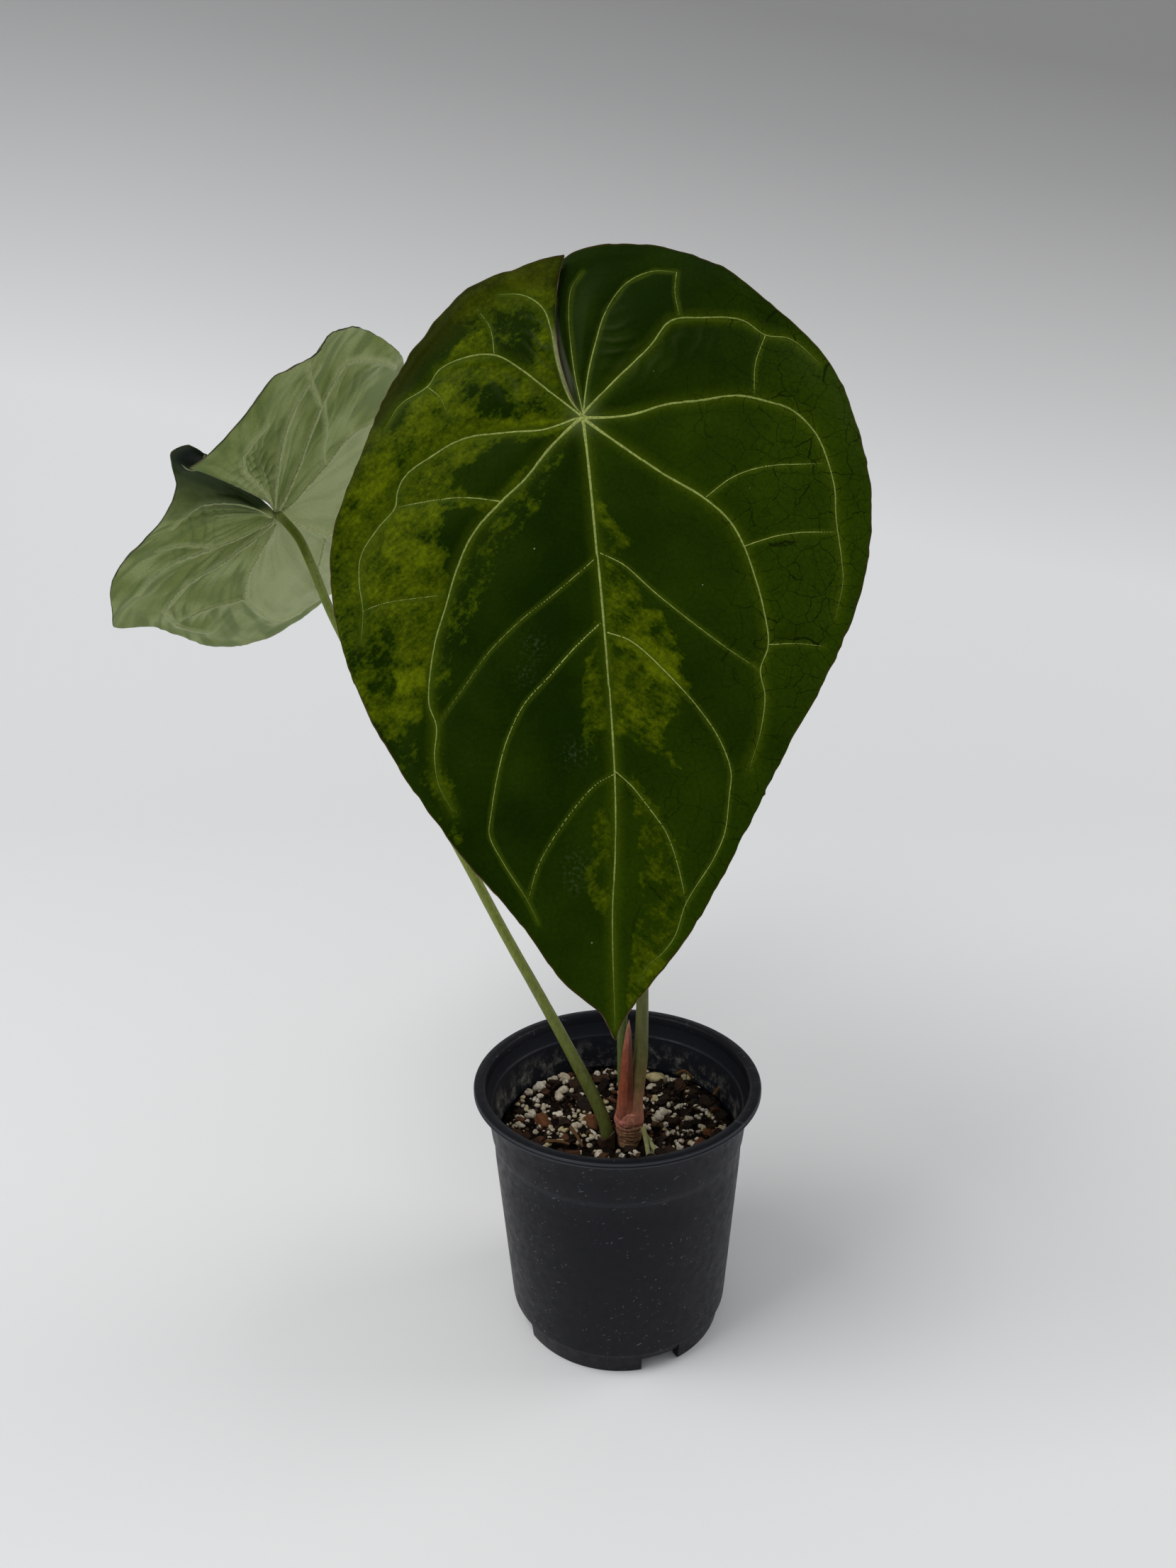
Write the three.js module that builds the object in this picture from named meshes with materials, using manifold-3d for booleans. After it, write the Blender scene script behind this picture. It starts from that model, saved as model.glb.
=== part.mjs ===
// A potted anthurium with two large heart-shaped leaves, in millimetres, +Z up.
// The origin is on the surface that the pot stands on, under the pot's axis. -Y is the front.
import * as THREE from 'three';
import { mergeVertices } from 'three/addons/utils/BufferGeometryUtils.js';
import Module from 'manifold-3d';

const wasm = await Module();
wasm.setup();

// Clearance between pieces that touch
const GAP = 0.3;

// Pot: a thin moulded nursery pot
const POT_HEIGHT = 100.5;
const RIM_RADIUS = 54.5;
const LIP_INNER_RADIUS = 50.6;
const LIP_THICKNESS = 1.8;
const STEP_HEIGHT = 79.5;
const WALL_TOP_RADIUS = 50.3;
const WALL_STEP_RADIUS = 47.6;
const WALL_FOOT_RADIUS = 42.4;
const WALL_THICKNESS = 1.5;
const FLOOR_BOTTOM = 5;
const FLOOR_TOP = 7;
const FOOT_RADIUS = 39.8;
const FOOT_WIDTH = 3.4;
const FOOT_HEIGHT = 8;
const PAD_RADIUS = 12;
const NOTCH_COUNT = 4;
const NOTCH_FIRST_ANGLE = -67;
const NOTCH_WIDTH = 15;
const DRAIN_RADIUS = 4.5;
const DRAIN_FROM_AXIS = 29;
const POT_SEGMENTS = 48;

// Potting mix: its surface, and the grains and chips in it
const SOIL_HEIGHT = 78;
const SOIL_TOP_RADIUS = 45.2;
const SOIL_FOOT_RADIUS = 39.4;
const SOIL_SEGMENTS = 32;
const PERLITE_COUNT = 46;
const BARK_COUNT = 18;
const GRAIN_FIELD_RADIUS = 41;

// Stem: where its foot stands, and how high it reaches
const STEM_X = 4.5;
const STEM_Y = -8;
const STEM_FOOT = 66;
const STEM_TOP = 93;
const STEM_RADIUS = 5;
const STEM_RINGS = 6;

// Leaves: the blade's thickness at its margin, and how far the ribs stand out below
const BLADE_THICKNESS = 0.8;
const RIB_HEIGHT = 0.9;
const STALK_SEAT = BLADE_THICKNESS + RIB_HEIGHT + GAP;
const STALK_BEND = 7;
const RIB_WIDTH = 0.09;

// Where a blade is cut: rings out from its joint, and steps across each wedge between two ribs
const BLADE_RINGS = [0.07, 0.15, 0.25, 0.36, 0.48, 0.6, 0.71, 0.81, 0.9, 0.96, 1];
const NARROW_STEPS = [0.36, 0.64];
const WIDE_STEPS = [0.29, 0.5, 0.71];
const WIDEST_STEPS = [0.22, 0.36, 0.5, 0.64, 0.78];
const WEDGE_STEPS = { 4: WIDE_STEPS, 5: WIDEST_STEPS, 6: WIDEST_STEPS, 7: WIDE_STEPS };

const COLOURS = {
  pot: 0x23252a,
  soil: 0x2a1d15,
  stem: 0xb9825c,
  root: 0xbfbd86,
  cataphyll: 0x9a3b1c,
  sheath: 0x3a2218,
  stalk: 0x7f8f45,
  newLeaf: 0x8fa552,
  leafFront: 0x35550f,
  leafBack: 0x8d9b6b,
};

const degrees = THREE.MathUtils.degToRad;
const lerp = THREE.MathUtils.lerp;
const smoothstep = THREE.MathUtils.smoothstep;

// A small seeded random generator, so that the grains fall the same way each time
function seededRandom(seed) {
  let state = seed;
  return () => {
    state = (state + 0x6d2b79f5) | 0;
    let t = Math.imul(state ^ (state >>> 15), 1 | state);
    t = (t + Math.imul(t ^ (t >>> 7), 61 | t)) ^ t;
    return ((t ^ (t >>> 14)) >>> 0) / 4294967296;
  };
}

function toSolid(geometry) {
  const bare = geometry.clone();
  bare.deleteAttribute('normal');
  bare.deleteAttribute('uv');
  const merged = mergeVertices(bare, 1e-4);
  const vertProperties = new Float32Array(merged.attributes.position.array);
  const triVerts = new Uint32Array(merged.index.array);
  return new wasm.Manifold(new wasm.Mesh({ numProp: 3, vertProperties, triVerts }));
}

function toGeometry(solid) {
  const mesh = solid.getMesh();
  const geometry = new THREE.BufferGeometry();
  geometry.setAttribute('position', new THREE.Float32BufferAttribute(mesh.vertProperties, 3));
  geometry.setIndex(Array.from(mesh.triVerts));
  geometry.computeVertexNormals();
  return geometry;
}

function meshFrom(vertices, faces) {
  const geometry = new THREE.BufferGeometry();
  geometry.setAttribute('position', new THREE.Float32BufferAttribute(vertices, 3));
  geometry.setIndex(faces);
  geometry.computeVertexNormals();
  return geometry;
}

function piece(name, geometry, color, roughness = 0.6) {
  const material = new THREE.MeshStandardMaterial({ color, roughness, metalness: 0 });
  const mesh = new THREE.Mesh(geometry, material);
  mesh.name = name;
  return mesh;
}

// A body of revolution about +Z, from [radius, height] pairs
function turned(profile, segments) {
  const points = profile.map(([radius, height]) => new THREE.Vector2(radius, height));
  const geometry = new THREE.LatheGeometry(points, segments);
  geometry.rotateX(Math.PI / 2);
  return geometry;
}

// A round stalk through points, with its radius read along its length and flat closed ends
function stalk({ points, radii, sides = 8, steps = 8, flatten = 1 }, grow = 0) {
  const curve = new THREE.CatmullRomCurve3(points.map((p) => new THREE.Vector3(...p)), false, 'centripetal');
  const frames = curve.computeFrenetFrames(steps, false);
  const vertices = [];
  const faces = [];
  for (let i = 0; i <= steps; i += 1) {
    const centre = curve.getPointAt(i / steps);
    const along = (i / steps) * (radii.length - 1);
    const first = Math.min(Math.floor(along), radii.length - 2);
    const radius = lerp(radii[first], radii[first + 1], along - first) + grow;
    for (let j = 0; j < sides; j += 1) {
      const angle = (2 * Math.PI * j) / sides;
      const point = centre.clone();
      point.addScaledVector(frames.normals[i], radius * Math.cos(angle));
      point.addScaledVector(frames.binormals[i], radius * flatten * Math.sin(angle));
      vertices.push(point.x, point.y, point.z);
    }
  }
  const foot = vertices.length / 3;
  vertices.push(...curve.getPointAt(0).toArray(), ...curve.getPointAt(1).toArray());
  for (let j = 0; j < sides; j += 1) {
    const next = (j + 1) % sides;
    for (let i = 0; i < steps; i += 1) {
      const a = i * sides + j;
      const b = i * sides + next;
      faces.push(a, b, b + sides, a, b + sides, a + sides);
    }
    faces.push(foot, next, j);
    faces.push(foot + 1, steps * sides + j, steps * sides + next);
  }
  return meshFrom(vertices, faces);
}

// Pot
function potShell() {
  const step = STEP_HEIGHT;
  const lipBottom = POT_HEIGHT - LIP_THICKNESS;
  const inside = (radius) => radius - WALL_THICKNESS;
  return turned([
    [0, 0],
    [PAD_RADIUS, 0],
    [PAD_RADIUS + 1.5, FLOOR_BOTTOM],
    [FOOT_RADIUS - FOOT_WIDTH, FLOOR_BOTTOM],
    [FOOT_RADIUS - FOOT_WIDTH + 0.4, 0],
    [FOOT_RADIUS, 0],
    [FOOT_RADIUS + 1, FOOT_HEIGHT],
    [WALL_FOOT_RADIUS - 0.5, FOOT_HEIGHT + 0.4],
    [WALL_FOOT_RADIUS, FOOT_HEIGHT + 1.6],
    [WALL_STEP_RADIUS - 0.4, step - 9],
    [WALL_STEP_RADIUS, step],
    [WALL_STEP_RADIUS + 0.6, step + 0.6],
    [WALL_TOP_RADIUS, lipBottom - 2.6],
    [RIM_RADIUS - 1, lipBottom - 0.4],
    [RIM_RADIUS, lipBottom + 0.2],
    [RIM_RADIUS, POT_HEIGHT - 0.5],
    [RIM_RADIUS - 0.5, POT_HEIGHT],
    [LIP_INNER_RADIUS, POT_HEIGHT],
    [LIP_INNER_RADIUS - 0.6, POT_HEIGHT - 0.5],
    [inside(WALL_TOP_RADIUS) - 0.5, POT_HEIGHT - 8.3],
    [inside(WALL_TOP_RADIUS) - 1.3, POT_HEIGHT - 9.1],
    [inside(WALL_STEP_RADIUS), step - 1.5],
    [inside(WALL_FOOT_RADIUS), FOOT_HEIGHT + 2],
    [inside(WALL_FOOT_RADIUS) - 0.8, FLOOR_TOP],
    [0, FLOOR_TOP],
    [0, 0],
  ], POT_SEGMENTS);
}

function pot() {
  const cutters = [];
  for (let i = 0; i < NOTCH_COUNT; i += 1) {
    const turn = degrees(NOTCH_FIRST_ANGLE + (360 * i) / NOTCH_COUNT);
    const notch = new THREE.BoxGeometry(14, NOTCH_WIDTH, FLOOR_BOTTOM + 1);
    notch.translate(FOOT_RADIUS, 0, (FLOOR_BOTTOM + 1) / 2 - 1);
    notch.rotateZ(turn);
    const drain = new THREE.CylinderGeometry(DRAIN_RADIUS, DRAIN_RADIUS, 10, 12);
    drain.rotateX(Math.PI / 2);
    drain.translate(DRAIN_FROM_AXIS * Math.cos(turn), DRAIN_FROM_AXIS * Math.sin(turn), FLOOR_TOP);
    cutters.push(toSolid(notch), toSolid(drain));
  }
  const cut = toSolid(potShell()).subtract(wasm.Manifold.union(cutters));
  return piece('pot', toGeometry(cut), COLOURS.pot, 0.5);
}

// Stem: its leaf scars are slightly wider rings
function stemProfile(grow) {
  const profile = [[0, STEM_FOOT - grow], [STEM_RADIUS - 0.8 + grow, STEM_FOOT - grow]];
  const ringsFrom = SOIL_HEIGHT - 1;
  const pitch = (STEM_TOP - ringsFrom) / STEM_RINGS;
  for (let i = 0; i < STEM_RINGS; i += 1) {
    const foot = ringsFrom + i * pitch;
    const swell = 0.5 * Math.sin((Math.PI * (i + 0.5)) / STEM_RINGS);
    profile.push([STEM_RADIUS - 0.25 + swell + grow, foot]);
    profile.push([STEM_RADIUS + 0.25 + swell + grow, foot + 0.7 * pitch]);
  }
  profile.push([STEM_RADIUS - 0.4 + grow, STEM_TOP + grow], [0, STEM_TOP + grow]);
  return profile;
}

function stemGeometry(grow = 0) {
  const geometry = turned(stemProfile(grow), 16);
  geometry.translate(STEM_X, STEM_Y, 0);
  return geometry;
}

// Roots from the stem's side into the mix
const ROOTS = {
  aerial_root_long: {
    points: [[9.6, -11.9, 86.6], [10.7, -15, 82.6], [11.5, -19, 78], [11.8, -20.5, 73]],
    radii: [1, 0.9, 0.8, 0.7],
  },
  aerial_root_short: {
    points: [[10.3, -10, 82.4], [12.6, -14.2, 81.8], [15.2, -17, 79.6], [16.6, -18.6, 75]],
    radii: [0.9, 1, 0.9, 0.6],
  },
};

// Where each blade is joined to its stalk, and how the blade is turned there
const FRONT_JOINT = [-9.15, -8, 339.9];
const FRONT_TURN = [70, 0, 2.6];
const BACK_JOINT = [-131.9, 70.6, 307.8];
const BACK_TURN = [-35, -44.6, 158.5];

// The two last points of a stalk, which meets its blade's underside square
function seat(joint, turn) {
  const down = new THREE.Vector3(0, 0, -1).applyEuler(new THREE.Euler(...turn.map(degrees)));
  const below = (depth) => new THREE.Vector3(...joint).addScaledVector(down, depth).toArray();
  return [below(STALK_BEND), below(STALK_SEAT)];
}

// Stalks. The back leaf's foot is beside the stem, and the others start on the stem's top.
const onStem = (x, y) => [[x, y, STEM_TOP + GAP], [x, y, STEM_TOP + 2]];
const BACK_STALK = {
  points: [
    [-3.5, -9.2, 73], [-3.6, -9.2, 80], [-5.6, -8.4, 89], [-18.7, -3, 116], [-43.2, 8, 160],
    [-56.1, 14, 184.2], [-81.6, 29, 227.4], [-106, 44, 271.1], [-113.6, 50, 288.5], [-120.5, 60, 298.3],
    ...seat(BACK_JOINT, BACK_TURN),
  ],
  radii: [2.5, 2.45, 2.15, 2, 1.95, 1.9, 1.85, 1.8, 1.75, 1.7, 1.7, 1.75],
  steps: 30,
};
const FRONT_STALK = {
  points: [
    ...onStem(6.5, -7.8), [7.4, -7, 101.6], [8.7, -6, 112], [9.6, -3, 138], [8.6, 4, 190], [2, 10, 250],
    [-5, 13, 300], [-8.2, 9.6, 325], ...seat(FRONT_JOINT, FRONT_TURN),
  ],
  radii: [3, 2.5, 2.2, 2.15, 2.1, 2.05, 2, 1.95, 1.9, 1.85, 1.8, 1.9, 1.9],
  steps: 28,
};
const NEW_LEAF = {
  points: [
    ...onStem(2.4, -4.8), [2, -3, 104], [2.1, -1.6, 120], [2.4, 0, 150], [1.6, 1.4, 190], [-0.6, 1, 225],
    [-3.4, -0.6, 254],
  ],
  radii: [1.6, 1.9, 1.9, 1.9, 1.9, 1.9, 1.9, 2, 3.2, 4, 4.1, 3.8, 2.8, 1.3, 0.3],
  steps: 22,
};
const CATAPHYLL = {
  points: [...onStem(3, -10.6), [3.3, -9.9, 102], [3.8, -9, 112], [3.9, -7, 128.5]],
  radii: [0.7, 1.1, 1.3, 1.25, 1.1, 0.9, 0.6, 0.25],
  steps: 12,
  flatten: 1.75,
};

// The dark remnant that wraps the front of the back stalk's foot
const SHEATH = { x: -3.6, y: -9.3, bottom: 76.2, top: 82.5, inner: 3.2, outer: 4, from: 195, to: 300 };

function sheathGeometry(grow = 0) {
  const outline = new THREE.Shape();
  const { inner, outer, from, to } = SHEATH;
  outline.absarc(0, 0, outer + grow, degrees(from - 6 * grow), degrees(to + 6 * grow), false);
  outline.absarc(0, 0, inner - grow, degrees(to + 6 * grow), degrees(from - 6 * grow), true);
  const depth = SHEATH.top - SHEATH.bottom + 2 * grow;
  const geometry = new THREE.ExtrudeGeometry(outline, { depth, bevelEnabled: false, curveSegments: 8 });
  geometry.translate(SHEATH.x, SHEATH.y, SHEATH.bottom - grow);
  return geometry;
}

// Potting mix: a lumpy surface with sunk grains, and plain holes where the plant stands in it
function soilRelief(x, y) {
  return 0.7 * Math.sin(x * 0.31 + 1) * Math.cos(y * 0.27) + 0.5 * Math.sin(x * 0.83 + y * 0.61);
}

function soilBody() {
  const geometry = turned([
    [0, FLOOR_TOP + GAP],
    [SOIL_FOOT_RADIUS, FLOOR_TOP + GAP],
    [SOIL_FOOT_RADIUS + 0.9, FLOOR_TOP + 5],
    [SOIL_TOP_RADIUS, SOIL_HEIGHT - 1.5],
    ...[42, 36, 30, 24, 18, 12, 6, 0].map((radius) => [radius, SOIL_HEIGHT]),
  ], SOIL_SEGMENTS);
  const position = geometry.attributes.position;
  for (let i = 0; i < position.count; i += 1) {
    if (position.getZ(i) > SOIL_HEIGHT - 0.5) {
      position.setZ(i, SOIL_HEIGHT + soilRelief(position.getX(i), position.getY(i)));
    }
  }
  return geometry;
}

function clearOfPlant(x, y) {
  const stem = Math.hypot(x - STEM_X, y - STEM_Y) > 9;
  const sheath = Math.hypot(x - SHEATH.x, y - SHEATH.y) > 7;
  const roots = Math.hypot(x - 13, y + 17) > 7;
  return stem && sheath && roots;
}

function grain(shape, size, random, x, y, sink) {
  shape.scale(...size);
  shape.rotateX((random() - 0.5) * 0.9);
  shape.rotateY((random() - 0.5) * 0.9);
  shape.rotateZ(random() * Math.PI);
  shape.translate(x, y, SOIL_HEIGHT + soilRelief(x, y) - sink);
  return toSolid(shape);
}

function grains() {
  const random = seededRandom(11);
  const solids = [];
  while (solids.length < PERLITE_COUNT + BARK_COUNT) {
    const radius = GRAIN_FIELD_RADIUS * Math.sqrt(random());
    const turn = 2 * Math.PI * random();
    const x = radius * Math.cos(turn);
    const y = radius * Math.sin(turn);
    if (clearOfPlant(x, y)) {
      const big = 1.5 + 1.4 * random();
      if (solids.length < PERLITE_COUNT) {
        const size = [big, big * 0.85, big * 0.75];
        solids.push(grain(new THREE.IcosahedronGeometry(1, 0), size, random, x, y, 0.1 * big));
      } else {
        const size = [2.6 * big, 1.4 * big, 0.9 * big];
        solids.push(grain(new THREE.BoxGeometry(1, 1, 1), size, random, x, y, 0.05 * big));
      }
    }
  }
  return solids;
}

function soil() {
  const filled = wasm.Manifold.union([toSolid(soilBody()), ...grains()]);
  const holes = [
    stemGeometry(GAP),
    sheathGeometry(GAP),
    stalk(BACK_STALK, GAP),
    ...Object.values(ROOTS).map((root) => stalk(root, GAP)),
  ];
  const cut = filled.subtract(wasm.Manifold.union(holes.map(toSolid)));
  const largest = cut.decompose().sort((a, b) => b.volume() - a.volume())[0];
  return piece('soil', toGeometry(largest), COLOURS.soil, 0.95);
}

// Leaf blades. Each is seen from its upper side: x across, y from the tip up to the lobes, z up from it.
// The outline runs from the right lobe's inner corner, round the tip, to the left lobe's inner corner.
// A rib is a curve from the stalk's joint at (0, 0), bent towards one point and ending at the margin.
// The first and last rib curves are the margins of the closed cleft between the lobes.
const LEAF_FRONT = {
  outline: [
    [-8.4, 55], [8, 58], [25, 57.3], [45.3, 49.2], [62.1, 34.5], [78.6, 17.4], [86.1, -3.8], [89.5, -29.8],
    [85, -57], [74.8, -79.2], [56.7, -109], [40.6, -136.6], [26.3, -159.8], [10.4, -179], [3.4, -187],
    [0, -194], [-4.4, -185.6], [-15.7, -174.7], [-27.2, -157.3], [-41.2, -140], [-52, -124.4],
    [-65.5, -103.4], [-75.9, -80.8], [-82.5, -56.2], [-82.2, -33.3], [-72.5, -8.8], [-62, 14], [-48, 32],
    [-35, 44.5], [-19, 50.2], [-4.4, 53.6],
  ],
  ribs: [
    { bend: [-13, 30], end: [-8, 54] },
    { bend: [-9, 30], end: [8, 58] },
    { bend: [2, 44], end: [34, 55] },
    { bend: [38, 50], end: [82, 13] },
    { bend: [52, 14], end: [90, -22] },
    { bend: [79, -59], end: [50, -121] },
    { bend: [8, -97], end: [0, -194] },
    { bend: [-71, -60], end: [-50, -128] },
    { bend: [-56, 4], end: [-82, -58] },
    { bend: [-40, 42], end: [-73, -9] },
    { bend: [-15, 34], end: [-35, 45] },
    { bend: [-12.8, 22.5], end: [-4, 55] },
  ],
  lobeLift: { right: -2.2, left: 2.2 },
  quilting: 0.9,
  wave: 1,
  arch: (x, y) => -7 * (x / 85) ** 2 - (y < 0 ? 6 * (y / 190) ** 2 : 5 * (y / 58) ** 2),
};
const LEAF_BACK = {
  outline: [
    [-7, 60], [8, 50], [17, 46.5], [29.8, 45], [46, 38.7], [58, 31], [69, 19.5], [77, 7], [71.5, -6],
    [72, -22.5], [73, -51], [68.2, -71.5], [58.5, -89.5], [46.5, -103.5], [36, -120], [26, -136], [16, -150],
    [8, -159], [0, -171], [-8, -159], [-16, -149], [-28, -134], [-40, -117], [-52, -100], [-63, -82],
    [-71, -66], [-76.5, -47], [-77.5, -26], [-75.3, -5.5], [-71, 14], [-65, 25.5], [-58.3, 28.2],
    [-51.3, 34.6], [-41, 45], [-29, 47], [-14.8, 51], [-1, 56],
  ],
  ribs: [
    { start: [1.2, 8], bend: [-8, 30], end: [-7, 60] },
    { bend: [8, 34], end: [23, 44.5] },
    { bend: [14, 46], end: [46, 38] },
    { bend: [38, 34], end: [77, 5] },
    { bend: [50, 12], end: [72, -36] },
    { bend: [62, -42], end: [44, -115] },
    { bend: [4, -86], end: [0, -171] },
    { bend: [-62, -42], end: [-46, -109] },
    { bend: [-52, 10], end: [-78, -36] },
    { bend: [-38, 34], end: [-72, 12] },
    { bend: [-14, 40], end: [-35, 46] },
    { bend: [-3, 26], end: [-1, 56] },
  ],
  lobeLift: { right: 3, left: -2.5 },
  quilting: 1.1,
  wave: 1.6,
  arch: (x, y) => 0.00338 * x * x + (y < 0 ? 0.002 * y * y : 0) + 0.00132 * x * y,
};

function outlineSampler(leaf) {
  const points = leaf.outline.map(([x, y]) => new THREE.Vector3(x, y, 0));
  const curve = new THREE.CatmullRomCurve3(points, false, 'centripetal');
  const samples = curve.getSpacedPoints(600);
  const nearest = ([x, y]) => {
    const gaps = samples.map((point) => Math.hypot(point.x - x, point.y - y));
    return gaps.indexOf(Math.min(...gaps)) / 600;
  };
  return { at: (t) => curve.getPointAt(t), nearest };
}

// What pulls a rib's curve sideways near the joint and further out
function ribPull(rib, axis) {
  const far = (2 / 3) * rib.bend[axis];
  return { near: rib.start ? rib.start[axis] : far, far };
}

// Where a point lies: wedge counts the ribs from the right margin round, and s runs out from the joint
function bladeSurface(leaf) {
  const outline = outlineSampler(leaf);
  const last = leaf.ribs.length - 1;
  const ends = leaf.ribs.map((rib, i) => (i === 0 ? 0 : i === last ? 1 : outline.nearest(rib.end)));
  return (wedge, s) => {
    const first = Math.min(Math.floor(wedge), last - 1);
    const part = wedge - first;
    const t = lerp(ends[first], ends[first + 1], part);
    const end = outline.at(t);
    const [x, y] = [0, 1].map((axis) => {
      const [a, b] = [leaf.ribs[first], leaf.ribs[first + 1]].map((rib) => ribPull(rib, axis));
      const near = lerp(a.near, b.near, part);
      const far = lerp(a.far, b.far, part) + end.getComponent(axis) / 3;
      return 3 * s * (1 - s) ** 2 * near + 3 * s * s * (1 - s) * far + s ** 3 * end.getComponent(axis);
    });
    const out = Math.hypot(x, y);
    const fromCleft = Math.min(wedge, last - wedge);
    const lift = wedge < last / 2 ? leaf.lobeLift.right : leaf.lobeLift.left;
    const lobes = lift * smoothstep(out, 4, 20) * (1 - smoothstep(fromCleft, 0.2, 2));
    const quilt = leaf.quilting * Math.sin(Math.PI * part) * Math.sin(Math.PI * Math.min(1, 1.15 * s));
    const waves = leaf.wave * smoothstep(s, 0.6, 1) * Math.sin(52 * t + 3 * Math.sin(9 * t));
    return { x, y, z: leaf.arch(x, y) + lobes + quilt + waves };
  };
}

function ribHeight(wedge, s) {
  const onRib = Math.max(0, 1 - Math.abs(wedge - Math.round(wedge)) / RIB_WIDTH);
  return RIB_HEIGHT * Math.max(1 - smoothstep(s, 0, 0.07), onRib * (1 - smoothstep(s, 0.1, 0.95)));
}

// How the blade is cut: more steps in the wide wedges beside the midrib
function bladeWedges(count) {
  const wedges = [];
  for (let i = 0; i < count - 1; i += 1) {
    const steps = WEDGE_STEPS[i] ?? NARROW_STEPS;
    wedges.push(i, i + RIB_WIDTH, ...steps.map((part) => i + part), i + 1 - RIB_WIDTH);
  }
  wedges.push(count - 1);
  return wedges;
}

function bladeGeometry(leaf) {
  const surface = bladeSurface(leaf);
  const wedges = bladeWedges(leaf.ribs.length);
  const rings = BLADE_RINGS.length;
  const upper = [0, 0, 0];
  const lower = [0, 0, -BLADE_THICKNESS - RIB_HEIGHT];
  for (const wedge of wedges) {
    for (const s of BLADE_RINGS) {
      const { x, y, z } = surface(wedge, s);
      const dx = leaf.arch(x + 0.5, y) - leaf.arch(x - 0.5, y);
      const dy = leaf.arch(x, y + 0.5) - leaf.arch(x, y - 0.5);
      const slant = Math.hypot(1, dx, dy);
      upper.push(x, y, z);
      lower.push(x, y, z - (BLADE_THICKNESS + ribHeight(wedge, s)) * slant);
    }
  }
  return meshFrom([...upper, ...lower], bladeFaces(wedges.length, rings, upper.length / 3));
}

// The same triangles on both faces, and a wall along the margin
function bladeFaces(rays, rings, below) {
  const at = (ray, ring) => (ring === 0 ? 0 : 1 + ray * rings + ring - 1);
  const top = [];
  const rim = [];
  for (let ray = 0; ray < rays - 1; ray += 1) {
    top.push([0, at(ray + 1, 1), at(ray, 1)]);
    for (let ring = 1; ring < rings; ring += 1) {
      const corners = [at(ray, ring), at(ray + 1, ring), at(ray + 1, ring + 1), at(ray, ring + 1)];
      top.push([corners[0], corners[1], corners[2]], [corners[0], corners[2], corners[3]]);
    }
    rim.push([at(ray + 1, rings), at(ray, rings)]);
  }
  for (let ring = 0; ring < rings; ring += 1) {
    rim.push([at(0, ring + 1), at(0, ring)], [at(rays - 1, ring), at(rays - 1, ring + 1)]);
  }
  const faces = top.flatMap(([a, b, c]) => [a, b, c, a + below, c + below, b + below]);
  const walls = rim.flatMap(([p, q]) => [q, p, p + below, q, p + below, q + below]);
  return [...faces, ...walls];
}

function leafBlade(name, leaf, position, rotation, color) {
  const blade = piece(name, bladeGeometry(leaf), color, 0.4);
  blade.position.set(...position);
  blade.rotation.set(...rotation.map(degrees));
  return blade;
}

const plant = new THREE.Group();
plant.add(pot());
plant.add(soil());
plant.add(piece('stem', stemGeometry(), COLOURS.stem, 0.8));
for (const [name, root] of Object.entries(ROOTS)) {
  plant.add(piece(name, stalk(root), COLOURS.root));
}
plant.add(piece('old_sheath', sheathGeometry(), COLOURS.sheath, 0.8));
plant.add(piece('cataphyll', stalk(CATAPHYLL), COLOURS.cataphyll));
plant.add(piece('new_leaf', stalk(NEW_LEAF), COLOURS.newLeaf));
plant.add(piece('petiole_front', stalk(FRONT_STALK), COLOURS.stalk));
plant.add(piece('petiole_back', stalk(BACK_STALK), COLOURS.stalk));
plant.add(leafBlade('leaf_front', LEAF_FRONT, FRONT_JOINT, FRONT_TURN, COLOURS.leafFront));
plant.add(leafBlade('leaf_back', LEAF_BACK, BACK_JOINT, BACK_TURN, COLOURS.leafBack));

export default plant;
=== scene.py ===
# A potted anthurium: the finish of its leaves, stalks, mix and pot, round the CAD frame.
# Lengths are in mm until a mesh is made, and metres in Blender.
import math

import bmesh
import bpy
import numpy as np
from mathutils import Euler, Matrix, Vector
from mathutils.bvhtree import BVHTree


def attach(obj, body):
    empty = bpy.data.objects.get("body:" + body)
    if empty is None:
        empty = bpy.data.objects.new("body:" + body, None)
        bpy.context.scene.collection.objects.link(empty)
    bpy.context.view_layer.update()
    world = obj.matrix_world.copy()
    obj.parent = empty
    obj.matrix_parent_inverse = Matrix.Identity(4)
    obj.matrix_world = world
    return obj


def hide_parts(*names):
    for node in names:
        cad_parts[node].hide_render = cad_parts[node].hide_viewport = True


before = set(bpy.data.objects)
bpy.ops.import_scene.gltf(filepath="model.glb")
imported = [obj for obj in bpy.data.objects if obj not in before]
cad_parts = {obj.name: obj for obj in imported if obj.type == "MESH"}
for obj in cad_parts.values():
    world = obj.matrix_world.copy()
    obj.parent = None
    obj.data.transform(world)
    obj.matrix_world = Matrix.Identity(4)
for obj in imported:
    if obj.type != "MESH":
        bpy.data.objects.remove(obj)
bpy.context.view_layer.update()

MM = 0.001

# Camera, in mm and degrees, with its focal length in pixels of the whole picture
PICTURE = (1659, 2212)
FOCAL_PIXELS = 1600
CAMERA_AT = (0, -381, 334)
CAMERA_PITCH = 17
CAMERA_YAW = -1.43
CAMERA_ROLL = -0.8

# Where the lights aim, in metres
LIT_PLACE = (0, 0, 0.2)

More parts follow.
